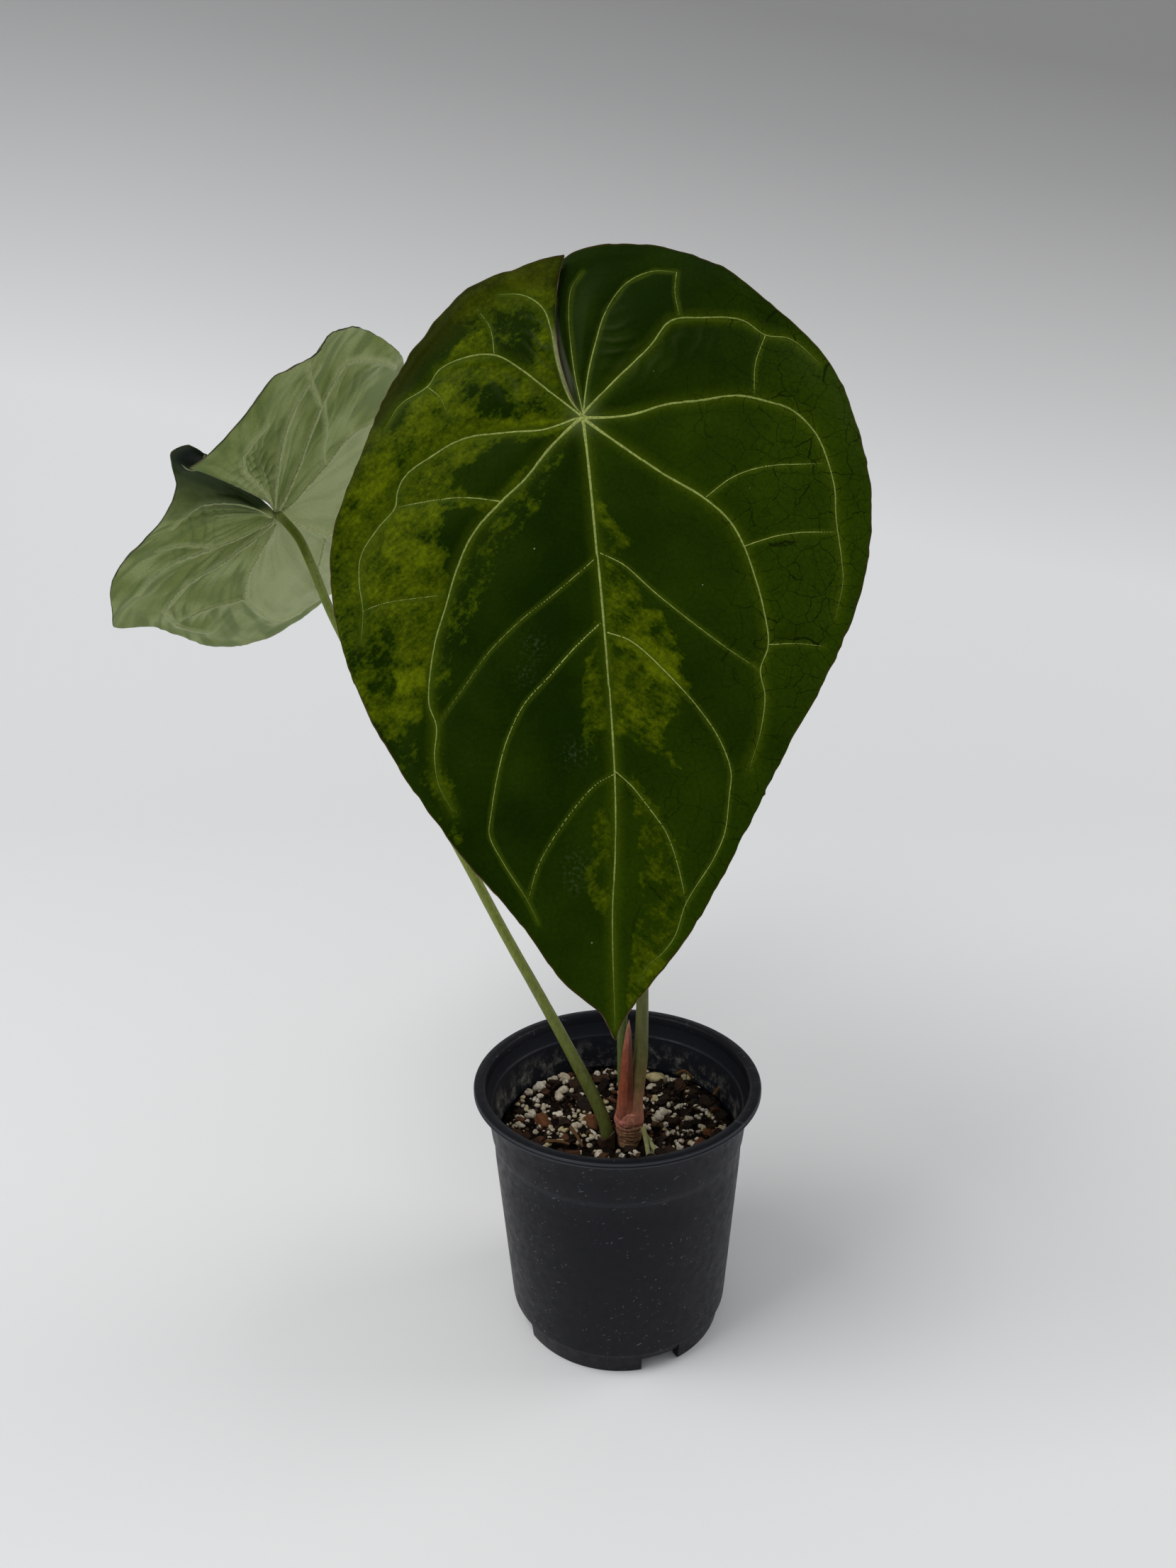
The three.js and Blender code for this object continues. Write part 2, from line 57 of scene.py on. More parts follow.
# Pot
POT_HEIGHT = 100.5
RIM_RADIUS = 54.5
LIP_INNER_RADIUS = 50.6
STEP_HEIGHT = 79.5
WALL_TOP_RADIUS = 50.3
WALL_STEP_RADIUS = 47.6
WALL_FOOT_RADIUS = 42.4
POT_SEGMENTS = 192
FLOOR_BOTTOM = 5
FLOOR_TOP = 7
FOOT_RADIUS = 39.8
FOOT_WIDTH = 3.4
FOOT_HEIGHT = 8
PAD_RADIUS = 12
NOTCH_ANGLES = (-67, 23, 113, 203)
NOTCH_WIDTH = 15
DRAIN_RADIUS = 4.5
DRAIN_FROM_AXIS = 29
DRILL_LENGTH = 6
DRILL_SIDES = 32
NOTCH_CORNER = 0.08
POT_SHARP_ANGLE = 38

# Potting mix
SOIL_HEIGHT = 78
SOIL_TOP_RADIUS = 45.2
SOIL_FOOT_RADIUS = 39.4
SOIL_SEGMENTS = 224
GRAIN_SEED = 7
SOIL_SIDE = ((0, 7.3), (SOIL_FOOT_RADIUS, 7.3), (SOIL_FOOT_RADIUS + 0.9, 12), (SOIL_TOP_RADIUS, 76))

# Stem, and the old sheath, with the room that the grains of the mix leave for them
STEM_X = 4.5
STEM_Y = -8
STEM_FOOT = 66
STEM_SEEN_FROM = 74
STEM_TOP = 93
STEM_CLEAR = 6.5
SHEATH_AT = (-3.6, -9.3)
SHEATH_SPAN = (195, 308)
SHEATH_FOOT = 76.2
SHEATH_TOP = 81.8
SHEATH_INNER = 3.3
SHEATH_OUTER = 4.0
STALK_CLEAR = 5

# Leaves. A blade's mesh has rays from the joint to the outline, with points at rings along them.
BLADE_THICKNESS = 0.8
RIB_HEIGHT = 0.9
STALK_BEND = 7
STALK_SEAT = 2.0
OUTLINE_STEPS = 3000
RAYS = 480
RINGS = 150
MIDRIB = 6
VEIN_STEP = 1.0
MAIN_VEIN = 0.68
NEAR_JOINT = 5


# Small helpers

def smooth(x, low, high):
    t = np.clip((x - low) / (high - low), 0, 1)
    return t * t * (3 - 2 * t)


def bell(x, width=1.0):
    """1 where x is 0, and less the further it is from it."""
    return np.exp(-(x / width) ** 2)


def unit(vectors):
    return vectors / np.maximum(np.linalg.norm(vectors, axis=-1, keepdims=True), 1e-9)


def around(count):
    """Angles evenly round a circle."""
    return 2 * np.pi * np.arange(count) / count


def spline(points, count):
    """Evenly spaced points along a smooth curve through the given ones."""
    p = np.array(points, float)
    p = np.vstack([2 * p[0] - p[1], p, 2 * p[-1] - p[-2]])
    dense = []
    for p0, p1, p2, p3 in zip(p[:-3], p[1:-2], p[2:-1], p[3:]):
        d0, d1, d2 = (max(np.linalg.norm(b - a), 1e-6) ** 0.5 for a, b in ((p0, p1), (p1, p2), (p2, p3)))
        t1 = ((p1 - p0) / d0 - (p2 - p0) / (d0 + d1) + (p2 - p1) / d1) * d1
        t2 = ((p2 - p1) / d1 - (p3 - p1) / (d1 + d2) + (p3 - p2) / d2) * d1
        t = np.linspace(0, 1, 32, endpoint=False)[:, None]
        square = -3 * p1 + 3 * p2 - 2 * t1 - t2
        cube = 2 * p1 - 2 * p2 + t1 + t2
        dense.append(p1 + t1 * t + square * t ** 2 + cube * t ** 3)
    dense = np.vstack([*dense, p[-2]])
    run = np.concatenate([[0], np.cumsum(np.linalg.norm(np.diff(dense, axis=0), axis=1))])
    even = np.linspace(0, run[-1], count)
    return np.stack([np.interp(even, run, axis) for axis in dense.T], -1)


def noise(x, y, seed):
    """Smooth noise from -1 to 1 that changes over about one unit."""
    cell_x = np.floor(x).astype(np.int64)
    cell_y = np.floor(y).astype(np.int64)
    part_x = smooth(x - cell_x, 0, 1)
    part_y = smooth(y - cell_y, 0, 1)

    def corner(i, j):
        mixed = (cell_x + i) * 374761393 + (cell_y + j) * 668265263 + seed * 362437
        mixed = (mixed ^ (mixed >> 13)) * 1274126177
        return ((mixed ^ (mixed >> 16)) & 0xFFFF) / 32767.5 - 1

    low = corner(0, 0) * (1 - part_x) + corner(1, 0) * part_x
    high = corner(0, 1) * (1 - part_x) + corner(1, 1) * part_x
    return low * (1 - part_y) + high * part_y


def cloud(x, y, octaves, seed):
    """Noise with finer noise laid over it."""
    total = 0
    for octave in range(octaves):
        total = total + noise(x * 2 ** octave, y * 2 ** octave, seed + octave) / 2 ** octave
    return total


def run_length(points):
    """The length of a line through points."""
    return np.linalg.norm(np.diff(np.array(points, float), axis=0), axis=1).sum()


def gap_to(x, y, points):
    """Distance from each (x, y) to a line through points."""
    points = np.array(points, float)
    nearest = np.full(np.shape(x), 1e9)
    for a, b in zip(points[:-1], points[1:]):
        side = b - a
        t = np.clip(((x - a[0]) * side[0] + (y - a[1]) * side[1]) / (side @ side), 0, 1)
        nearest = np.minimum(nearest, np.hypot(x - a[0] - t * side[0], y - a[1] - t * side[1]))
    return nearest


def inside(x, y, points):
    """Signed distance to a closed outline: positive inside."""
    ring = np.array([*points, points[0]], float)
    gap = gap_to(x, y, ring)
    within = np.zeros(np.shape(x), bool)
    for a, b in zip(ring[:-1], ring[1:]):
        crosses = (a[1] > y) != (b[1] > y)
        with np.errstate(divide="ignore", invalid="ignore"):
            at = a[0] + (y - a[1]) * (b[0] - a[0]) / (b[1] - a[1])
        within ^= crosses & (x < at)
    return np.where(within, gap, -gap)


def mesh_object(name, points_mm, faces, material, values=None):
    """A smooth mesh object from points in mm, with a float or a vector per point in each named value."""
    mesh = bpy.data.meshes.new(name)
    mesh.from_pydata((np.array(points_mm) * MM).tolist(), [], faces)
    mesh.update()
    mesh.shade_smooth()
    for key, value in (values or {}).items():
        kind, field = ("FLOAT_VECTOR", "vector") if np.ndim(value) == 2 else ("FLOAT", "value")
        attribute = mesh.attributes.new(key, kind, "POINT")
        attribute.data.foreach_set(field, np.asarray(value, np.float32).ravel())
    mesh.materials.append(material)
    obj = bpy.data.objects.new(name, mesh)
    bpy.context.scene.collection.objects.link(obj)
    return obj


def adopt(obj, slot, *nodes):
    """The piece belongs to the object and stands for CAD nodes; its slot is not used."""
    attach(obj, "root")
    if nodes:
        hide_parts(*nodes)


def grid_faces(rows, columns, closed=False, start=0):
    """Faces of a grid of points. closed joins the last column to the first."""
    i, j = np.meshgrid(np.arange(rows - 1), np.arange(columns if closed else columns - 1), indexing="ij")
    right = (j + 1) % columns
    corners = (i * columns + j, i * columns + right, (i + 1) * columns + right, (i + 1) * columns + j)
    return (np.stack(corners, -1).reshape(-1, 4) + start).tolist()


def tube(path, radius, sides, above=None, squash=(1.0, 1.0), wide=1.0, relief=1.0):
    """Rings of points round a path. squash scales what is above and below it, and wide what is across."""
    path = np.asarray(path, float)
    ahead = unit(np.gradient(path, axis=0))
    if above is None:
        side, across = np.array([1.0, 0, 0]), []
        for way in ahead:
            side = unit(side - way * (side @ way))
            across.append(side)
        across = np.array(across)
        above = np.cross(ahead, across)
    else:
        across = unit(np.cross(above, ahead))
    angle = around(sides)
    size = np.broadcast_to(radius, len(path))[:, None] * relief * np.ones(sides)
    outward = size * wide * np.cos(angle)
    upward = size * np.sin(angle) * np.where(np.sin(angle) > 0, *squash)
    return path[:, None] + across[:, None] * outward[..., None] + above[:, None] * upward[..., None]


class Shape:
    """Gathers closed bodies into one mesh, with named values per point for the material."""

    def __init__(self):
        self.points, self.faces, self.values, self.count = [], [], {}, 0

    def add(self, points, faces, **values):
        points = np.asarray(points, float).reshape(-1, 3)
        self.faces += [tuple(i + self.count for i in face) for face in faces]
        self.points.append(points)
        for key, value in values.items():
            self.values.setdefault(key, []).append(np.broadcast_to(value, len(points)))
        self.count += len(points)

    def add_rings(self, rings, **values):
        """A body through rings, closed at both ends. A value is for the whole, per ring or per point."""
        count, sides = rings.shape[:2]
        faces = grid_faces(count, sides, closed=True)
        last = (count - 1) * sides
        faces += [tuple(range(sides - 1, -1, -1)), tuple(last + k for k in range(sides))]
        spread = {key: np.repeat(value, sides) if np.size(value) == count else np.ravel(value)
                  for key, value in values.items()}
        self.add(rings, faces, **spread)

    def make(self, name, material, slot, *nodes):
        values = {key: np.concatenate(value) for key, value in self.values.items()}
        adopt(mesh_object(name, np.vstack(self.points), self.faces, material, values), slot, *nodes)


def icosphere(level):
    ball = bmesh.new()
    bmesh.ops.create_icosphere(ball, subdivisions=level, radius=1)
    points = np.array([vertex.co[:] for vertex in ball.verts])
    faces = [tuple(vertex.index for vertex in face.verts) for face in ball.faces]
    ball.free()
    return points, faces


def add_lump(shape, ball, at, size, rng, rough, power=1.0, tilt=0.5, **values):
    """An irregular body. size is its half lengths, and a power under 1 makes it blocky."""
    points, faces = ball
    body = np.sign(points) * np.abs(points) ** power
    swell = np.ones(len(points))
    for pitch in (1.2, 1.8, 2.6, 3.6):
        swell += rough * np.sin(points @ rng.normal(0, pitch, 3) + rng.uniform(0, 6.28))
    turn = Euler((rng.uniform(-tilt, tilt), rng.uniform(-tilt, tilt), rng.uniform(0, 6.28))).to_matrix()
    placed = (body * swell[:, None] * size) @ np.array(turn).T
    depth = np.clip(0.5 - placed[:, 2] / (2 * np.abs(placed[:, 2]).max()), 0, 1)
    shape.add(placed + at, faces, depth=depth, **values)


def weld_poles(obj):
    """Joins the points that meet on the axis of a turned body."""
    body = bmesh.new()
    body.from_mesh(obj.data)
    bmesh.ops.remove_doubles(body, verts=body.verts, dist=1e-6)
    body.to_mesh(obj.data)
    body.free()


# Camera, floor and light

def add_camera():
    pitch, yaw, roll = (math.radians(angle) for angle in (CAMERA_PITCH, CAMERA_YAW, CAMERA_ROLL))
    forward = Vector((math.sin(yaw) * math.cos(pitch), math.cos(yaw) * math.cos(pitch), -math.sin(pitch)))
    level = Vector((math.cos(yaw), -math.sin(yaw), 0))
    above = level.cross(forward)
    right = math.cos(roll) * level + math.sin(roll) * above
    up = math.cos(roll) * above - math.sin(roll) * level
    data = bpy.data.cameras.new("camera")
    data.sensor_fit = "VERTICAL"
    data.sensor_height = 36
    data.lens = data.sensor_height * FOCAL_PIXELS / PICTURE[1]
    data.clip_start = 0.01
    camera = bpy.data.objects.new("camera", data)
    turn = Matrix((right, up, -forward)).transposed().to_4x4()
    camera.matrix_world = Matrix.Translation(Vector(CAMERA_AT) * MM) @ turn
    bpy.context.scene.collection.objects.link(camera)
    bpy.context.scene.camera = camera


def add_light(name, at, size, power, color):
    """A soft light that shines on the middle of the plant."""
    data = bpy.data.lights.new(name, "AREA")
    data.shape = "RECTANGLE"
    data.size, data.size_y = size
    data.energy = power
    data.color = color
    light = bpy.data.objects.new(name, data)
    light.location = at
    light.rotation_euler = (Vector(LIT_PLACE) - Vector(at)).to_track_quat("-Z", "Y").to_euler()
    bpy.context.scene.collection.objects.link(light)


def backdrop_material():
    """A pale grey with painted shade that darkens it towards its top and its upper right, where the light
    falls off.
    """
    paint = Paint("backdrop", roughness=0.9, specular=0.1)
    x, _, z = paint.axes()
    height = paint.sum_of((z, 1), (x, 0.18), (paint.noise(0.0008, 2), 0.06))
    paint.base = paint.ramp(height, ((0.3, (0.83, 0.835, 0.84)), (0.55, 0.62), (0.85, 0.38), (1.0, 0.29)))
    return paint.done()


def add_backdrop():
    """A pale floor that sweeps up behind. All lengths here are in metres."""
    back, radius, height, half_width = 1.5, 0.9, 3.2, 4.0
    run = [(-3.0, 0.0), (back - radius, 0.0)]
    for step in range(1, 25):
        turn = math.radians(90 * step / 24)
        run.append((back - radius + radius * math.sin(turn), radius - radius * math.cos(turn)))
    run.append((back, height))
    across = np.linspace(-half_width, half_width, 9)
    points = [(x, y, z) for y, z in run for x in across]
    faces = grid_faces(len(run), len(across))
    mesh_object("floor", np.array(points) / MM, faces, backdrop_material())


def add_studio():
    world = bpy.data.worlds.new("studio")
    bpy.context.scene.world = world
    world.use_nodes = True
    background = world.node_tree.nodes["Background"]
    background.inputs["Color"].default_value = (0.93, 0.96, 1.0, 1)
    background.inputs["Strength"].default_value = 0.45
    add_light("key", at=(-1.1, -0.5, 1.9), size=(1.3, 1.3), power=26, color=(1.0, 0.99, 0.97))
    add_light("fill", at=(1.6, 0.3, 1.1), size=(1.0, 1.4), power=9, color=(1.0, 0.98, 0.95))
    bpy.context.scene.view_settings.view_transform = "Standard"


# Materials

class Paint:
    """A node material that is built up by laying one colour over another."""

    def __init__(self, name, roughness, specular):
        self.material = bpy.data.materials.new(name)
        self.material.use_nodes = True
        self.tree = self.material.node_tree
        self.inputs = self.tree.nodes["Principled BSDF"].inputs
        self.inputs["Roughness"].default_value = roughness
        self.inputs["Specular IOR Level"].default_value = specular
        self.base = None

    def node(self, kind, inputs, **settings):
        """A node with its settings made and its inputs fed by sockets, numbers or tuples."""
        node = self.tree.nodes.new("ShaderNode" + kind)
        for key, value in settings.items():
            setattr(node, key, value)
        for key, value in inputs.items():
            socket = node.inputs[key]
            if isinstance(value, bpy.types.NodeSocket):
                self.tree.links.new(value, socket)
            else:
                socket.default_value = (*value, 1) if socket.type == "RGBA" else value
        return node

    def feed(self, name, socket):
        self.tree.links.new(socket, self.inputs[name])

    def place(self):
        """Where a point of the object is, in metres."""
        return self.node("TexCoord", {}).outputs["Object"]

    def axes(self):
        return self.node("SeparateXYZ", {0: self.place()}).outputs

    def value(self, name):
        return self.node("Attribute", {}, attribute_name=name).outputs["Fac"]

    def vector(self, name):
        return self.node("Attribute", {}, attribute_name=name).outputs["Vector"]

    def calculate(self, operation, *values, clamp=False):
        node = self.node("Math", dict(enumerate(values)), operation=operation, use_clamp=clamp)
        return node.outputs["Value"]

    def times(self, first, *others):
        for other in others:
            first = self.calculate("MULTIPLY", first, other)
        return first

    def sum_of(self, *pairs):
        """The sum of sockets, each times its own number."""
        total, *others = (self.times(socket, number) for socket, number in pairs)
        for other in others:
            total = self.calculate("ADD", total, other)
        return total

    def spread(self, scale, vector):
        """A texture's scale, in cells per mm of the object, or of another vector that is in mm."""
        if vector is None:
            return {"Vector": self.place(), "Scale": scale / MM}
        return {"Vector": vector, "Scale": scale}

    def noise(self, scale, detail=3.0, vector=None, roughness=0.5, output="Fac"):
        inputs = {**self.spread(scale, vector), "Detail": detail, "Roughness": roughness}
        return self.node("TexNoise", inputs).outputs[output]

    def cells(self, scale, vector=None, **settings):
        """The distance from the middle of the nearest cell, or from its edge if a setting says so."""
        return self.node("TexVoronoi", self.spread(scale, vector), **settings).outputs["Distance"]

    def ramp(self, value, stops):
        """A colour ramp through stops of a place and a colour, where one number is a grey."""
        node = self.node("ValToRGB", {"Fac": value})
        elements = node.color_ramp.elements
        while len(elements) < len(stops):
            elements.new(0.5)
        for element, (place, color) in zip(elements, stops):
            element.position = place
            element.color = (color, color, color, 1) if np.ndim(color) == 0 else (*color, 1)
        return node.outputs["Color"]

    def step(self, value, low, high):
        """0 at low, 1 at high and smooth between, where low may be the greater number."""
        inputs = {"Value": value, "From Min": low, "From Max": high}
        return self.node("MapRange", inputs, interpolation_type="SMOOTHSTEP").outputs["Result"]

    def mix(self, factor, first, second, blend="MIX"):
        """first where the factor is 0, and second where it is 1."""
        inputs = {0: factor, 6: first, 7: second}
        return self.node("Mix", inputs, data_type="RGBA", blend_type=blend).outputs[2]

    def cover(self, color, *amounts):
        """Lays a colour over the base, as far as the product of the amounts."""
        self.base = self.mix(self.times(*amounts), self.base, color)

    def shade(self, color):
        """Multiplies the base by a colour."""
        self.base = self.mix(1.0, self.base, color, "MULTIPLY")

    def done(self, height=None, depth_mm=0.0, strength=1.0):
        """The finished material, with fine bumps if there is a height."""
        self.feed("Base Color", self.base)
        if height is not None:
            inputs = {"Height": height, "Distance": depth_mm * MM, "Strength": strength}
            self.feed("Normal", self.node("Bump", inputs).outputs["Normal"])
        return self.material


# Leaf blades, in each leaf's own frame: x across, y from the tip up to the lobes, z out of the upper side.
# The outline runs from the right lobe's inner corner round the tip to the left lobe's inner corner.

LEAF_FRONT = {
    "outline": [
        (-8.4, 52.4), (-3, 54.6), (1, 56.8), (8, 58), (25, 57.3), (45.3, 49.2), (62.1, 34.5),
        (78.6, 17.4), (86.1, -3.8), (89.5, -29.8), (85, -57), (74.8, -79.2), (56.7, -109), (40.6, -136.6),
        (26.3, -159.8), (10.4, -179), (3.6, -186.5), (1.1, -191.4), (0, -194.6), (-1.6, -190.6),
        (-4.8, -185), (-15.7, -174.7), (-27.2, -157.3), (-41.2, -140), (-52, -124.4), (-65.5, -103.4),
        (-75.9, -80.8), (-82.5, -56.2), (-82.2, -33.3), (-72.5, -8.8), (-62, 14), (-48, 32), (-35, 44.5),
        (-19, 50.2), (-3.5, 54.4),
    ],
    "ribs": [
        {"start": (-9.2, 16), "bend": (-13, 30), "end": (-8, 52)},
        {"bend": (-9, 30), "end": (8, 58)},
        {"bend": (2, 44), "end": (34, 55)},
        {"bend": (38, 50), "end": (82, 13)},
        {"bend": (52, 14), "end": (90, -22)},
        {"bend": (79, -59), "end": (50, -121)},
        {"bend": (8, -97), "end": (0, -194)},
        {"bend": (-71, -60), "end": (-50, -128)},
        {"bend": (-56, 4), "end": (-82, -58)},
        {"bend": (-40, 42), "end": (-73, -9)},
        {"bend": (-15, 34), "end": (-35, 45)},
        {"bend": (-12.8, 22.5), "end": (-4, 55)},
    ],
    "lift": (-1.6, 1.6),
    "quilting": 0.9,
    "wave": 1,
    "joint": (-9.15, -8, 339.9),
    "turn": (70, 0, 2.6),
}
LEAF_BACK = {
    "outline": [
        (-7, 58.5), (-5.5, 59.8), (-1.8, 60.8), (2.6, 56.5), (8, 50), (17, 46.5), (29.8, 45), (46, 38.7),
        (58, 31), (69, 19.5), (77, 7), (71.5, -6), (72, -22.5), (73, -51), (68.2, -71.5), (58.5, -89.5),
        (46.5, -103.5), (36, -120), (26, -136), (16, -150), (8, -159), (0, -171), (-8, -159), (-16, -149),
        (-28, -134), (-40, -117), (-52, -100), (-63, -82), (-71, -66), (-76.5, -47), (-77.5, -26),
        (-75.3, -5.5), (-71, 14), (-65, 25.5), (-58.3, 28.2), (-51.3, 34.6), (-41, 45), (-29, 47),
        (-14.8, 51), (-5, 54.6), (-1.2, 57.6),
    ],
    "ribs": [
        {"start": (-0.8, 9), "bend": (-8, 30), "end": (-7, 60)},
        {"bend": (8, 34), "end": (23, 44.5)},
        {"bend": (14, 46), "end": (46, 38)},
        {"bend": (38, 34), "end": (77, 5)},
        {"bend": (50, 12), "end": (72, -36)},
        {"bend": (62, -42), "end": (44, -115)},
        {"bend": (4, -86), "end": (0, -171)},
        {"bend": (-62, -42), "end": (-46, -109)},
        {"bend": (-52, 10), "end": (-78, -36)},
        {"bend": (-38, 34), "end": (-72, 12)},
        {"bend": (-14, 40), "end": (-35, 46)},
        {"start": (-5.5, 13), "bend": (-3, 26), "end": (-1, 56)},
    ],
    "lift": (3, -2.5),
    "quilting": 1.1,
    "wave": 1.6,
    "joint": (-131.9, 70.6, 307.8),
    "turn": (-35, -44.6, 158.5),
}


def arch_front(x, y):
    return -7 * (x / 85) ** 2 - np.where(y < 0, 6 * (y / 190) ** 2, 5 * (y / 58) ** 2)


def arch_back(x, y):
    return 0.00338 * x * x + np.where(y < 0, 0.002 * y * y, 0) + 0.00132 * x * y


# Veins: points, and the width in mm at the start and at the end. R is right of the midrib, and L left.
VEINS_FRONT = {
    "midrib": ([(0, -1), (1, -18), (2, -41), (3, -63), (4, -111), (3, -135), (1, -156),
                (0, -191)], 1.05, 0.35),
    "R_cleft": ([(0, 1), (-2, 14), (-3, 34), (-1.6, 44), (2, 49)], 0.35, 0.15),
    "R_hind": ([(0, 1), (2, 13), (5, 24), (9, 35), (16, 44), (25, 48), (32, 47)], 0.56, 0.28),
    "R_upper": ([(0, 1), (10, 11), (22, 22), (29, 30), (38, 31), (52, 30), (59, 25), (67, 24),
                 (76, 16)], 0.77, 0.31),
    "R_side": ([(1, 0), (15, 0), (26, 3), (37, 4), (49, 5), (58, 3), (66, 0), (72, -6), (75, -12),
                (78, -25), (78, -34), (79, -48), (79, -55), (76, -66)], 0.98, 0.28),
    "R_lower": ([(1, -1), (12, -10), (24, -19), (36, -27), (44, -35), (48, -43), (51, -53), (53, -62),
                 (54, -74), (51, -82), (52, -90), (50, -101), (46, -112)], 1.05, 0.28),
    "R_first": ([(3, -43), (10, -47), (19, -56), (29, -65), (40, -74), (51, -82)], 0.38, 0.27),
    "R_second": ([(4, -68), (11, -71), (22, -82), (31, -93), (37, -103), (40, -113), (39, -121),
                  (37, -132), (33, -140), (24, -153), (20, -163), (16, -168), (11, -172),
                  (8, -177)], 0.42, 0.24),
    "R_third": ([(4, -111), (9, -116), (14, -123), (19, -131), (22, -141), (24, -153)], 0.34, 0.27),
    "R_link_a": ([(32, 47), (31, 40), (32, 31)], 0.18, 0.18),
    "R_link_b": ([(59, 25), (55, 15), (54, 5)], 0.21, 0.28),
    "R_link_c": ([(37, -27), (46, -21), (56, -18), (75, -17)], 0.25, 0.42),
    "R_link_d": ([(48, -43), (59, -40), (67, -39), (78, -39)], 0.35, 0.35),
    "R_link_e": ([(54, -74), (63, -74), (72, -75)], 0.28, 0.21),
    "L_cleft": ([(-1, 2), (-3.6, 5.7), (-5.6, 11), (-7.2, 17.4), (-8, 23.3), (-8.8, 29), (-11, 36),
                 (-17, 41), (-25, 42)], 0.7, 0.35),
    "L_upper": ([(-2, 2), (-10, 9), (-19, 17), (-27, 22), (-37, 22), (-45, 19), (-49, 14), (-58, 9),
                 (-63, 2)], 0.83, 0.28),
    "L_side": ([(-2, 0), (-13, -3), (-24, -3), (-38, -4), (-49, -9), (-57, -14), (-60, -19), (-61, -24),
                (-67, -30), (-73, -38), (-74, -46), (-73, -56), (-74, -66)], 0.7, 0.28),
    "L_lower": ([(-2, -1), (-11, -9), (-19, -18), (-27, -25), (-36, -34), (-42, -45), (-46, -56),
                 (-50, -67), (-52, -76), (-53, -87), (-51, -94), (-52, -104), (-51, -113),
                 (-47, -121)], 1.05, 0.28),
    "L_first": ([(1, -45), (-4, -49), (-13, -56), (-23, -63), (-33, -72), (-42, -83),
                 (-51, -94)], 0.3, 0.12),
    "L_second": ([(2, -65), (-5, -71), (-14, -80), (-23, -89), (-29, -100), (-32, -109), (-35, -122),
                  (-36, -129), (-32, -138), (-25, -150), (-22, -157)], 0.42, 0.25),
    "L_third": ([(4, -112), (-2, -115), (-9, -122), (-16, -131), (-21, -139), (-25, -150)], 0.3, 0.27),
    "L_link_a": ([(-49, 14), (-45, 10), (-43, 5)], 0.28, 0.17),
    "L_link_b": ([(-27, 22), (-28, 31), (-32, 38)], 0.28, 0.17),
    "L_link_c": ([(-73, -56), (-65, -54), (-56, -53.5), (-46.5, -53)], 0.26, 0.22),
    "L_link_d": ([(-27, -25), (-38, -23), (-49, -23), (-61, -24)], 0.42, 0.42),
}
VEINS_BACK = {
    "midrib": ([(0, -3), (0, -30), (1, -60), (1, -100), (0, -140), (0, -168)], 2.0, 0.6),
    "L_cleft": ([(-1, 4), (-3.5, 10), (-5.5, 17), (-7, 25), (-8, 32), (-12, 38), (-19, 39),
                 (-27, 36)], 1.1, 0.4),
    "L_hind": ([(-2, 4), (-14, 16), (-27, 23), (-40, 26), (-54, 24)], 1.1, 0.4),
    "L_upper": ([(-2, 1), (-23, 6), (-43, 11), (-54, 10), (-61, 5), (-66, -6), (-71, -22),
                 (-72, -36)], 1.3, 0.5),
    "L_lower": ([(-3, -2), (-25, -10), (-40, -17), (-49, -32), (-55, -60), (-50, -90),
                 (-42, -104)], 1.4, 0.5),
    "L_first": ([(1, -40), (-14, -58), (-28, -80), (-34, -104), (-30, -122)], 1.1, 0.5),
    "L_second": ([(1, -84), (-10, -98), (-18, -118), (-18, -136)], 0.9, 0.4),
    "R_lip": ([(-6.6, 51), (-3.8, 47.4), (-0.5, 48.1), (0.9, 51.7), (0.4, 55)], 0.9, 0.5),
    "R_hind": ([(2, 2), (2, 10), (4, 20), (7, 29), (11, 36), (16, 39), (23, 39)], 1.0, 0.4),
    "R_upper": ([(3, 0), (13, 7), (23, 15), (38, 24), (47, 24), (56, 21)], 1.2, 0.5),
    "R_side": ([(4, -1), (20, 3), (32, 5), (43, 7), (60, 0), (66, -16), (64, -34)], 1.2, 0.5),
    "R_lower": ([(4, -3), (20, -10), (30, -16), (41, -29), (46, -47), (50, -73), (44, -92)], 1.3, 0.5),
    "R_link_a": ([(41, -29), (49, -17), (56, -12), (62, -12)], 0.8, 0.5),
    "R_link_b": ([(23, 15), (28, 26), (34, 34)], 0.6, 0.3),
    "R_first": ([(1, -42), (14, -58), (28, -78), (34, -100), (28, -124)], 1.1, 0.5),
    "R_second": ([(1, -86), (10, -100), (17, -118), (16, -138)], 0.9, 0.4),
    "L_link_a": ([(-43, 11), (-47, 22), (-52, 31)], 0.6, 0.3),
    "L_link_b": ([(-25, -10), (-30, -4), (-40, 4), (-46, 11)], 0.6, 0.3),
}

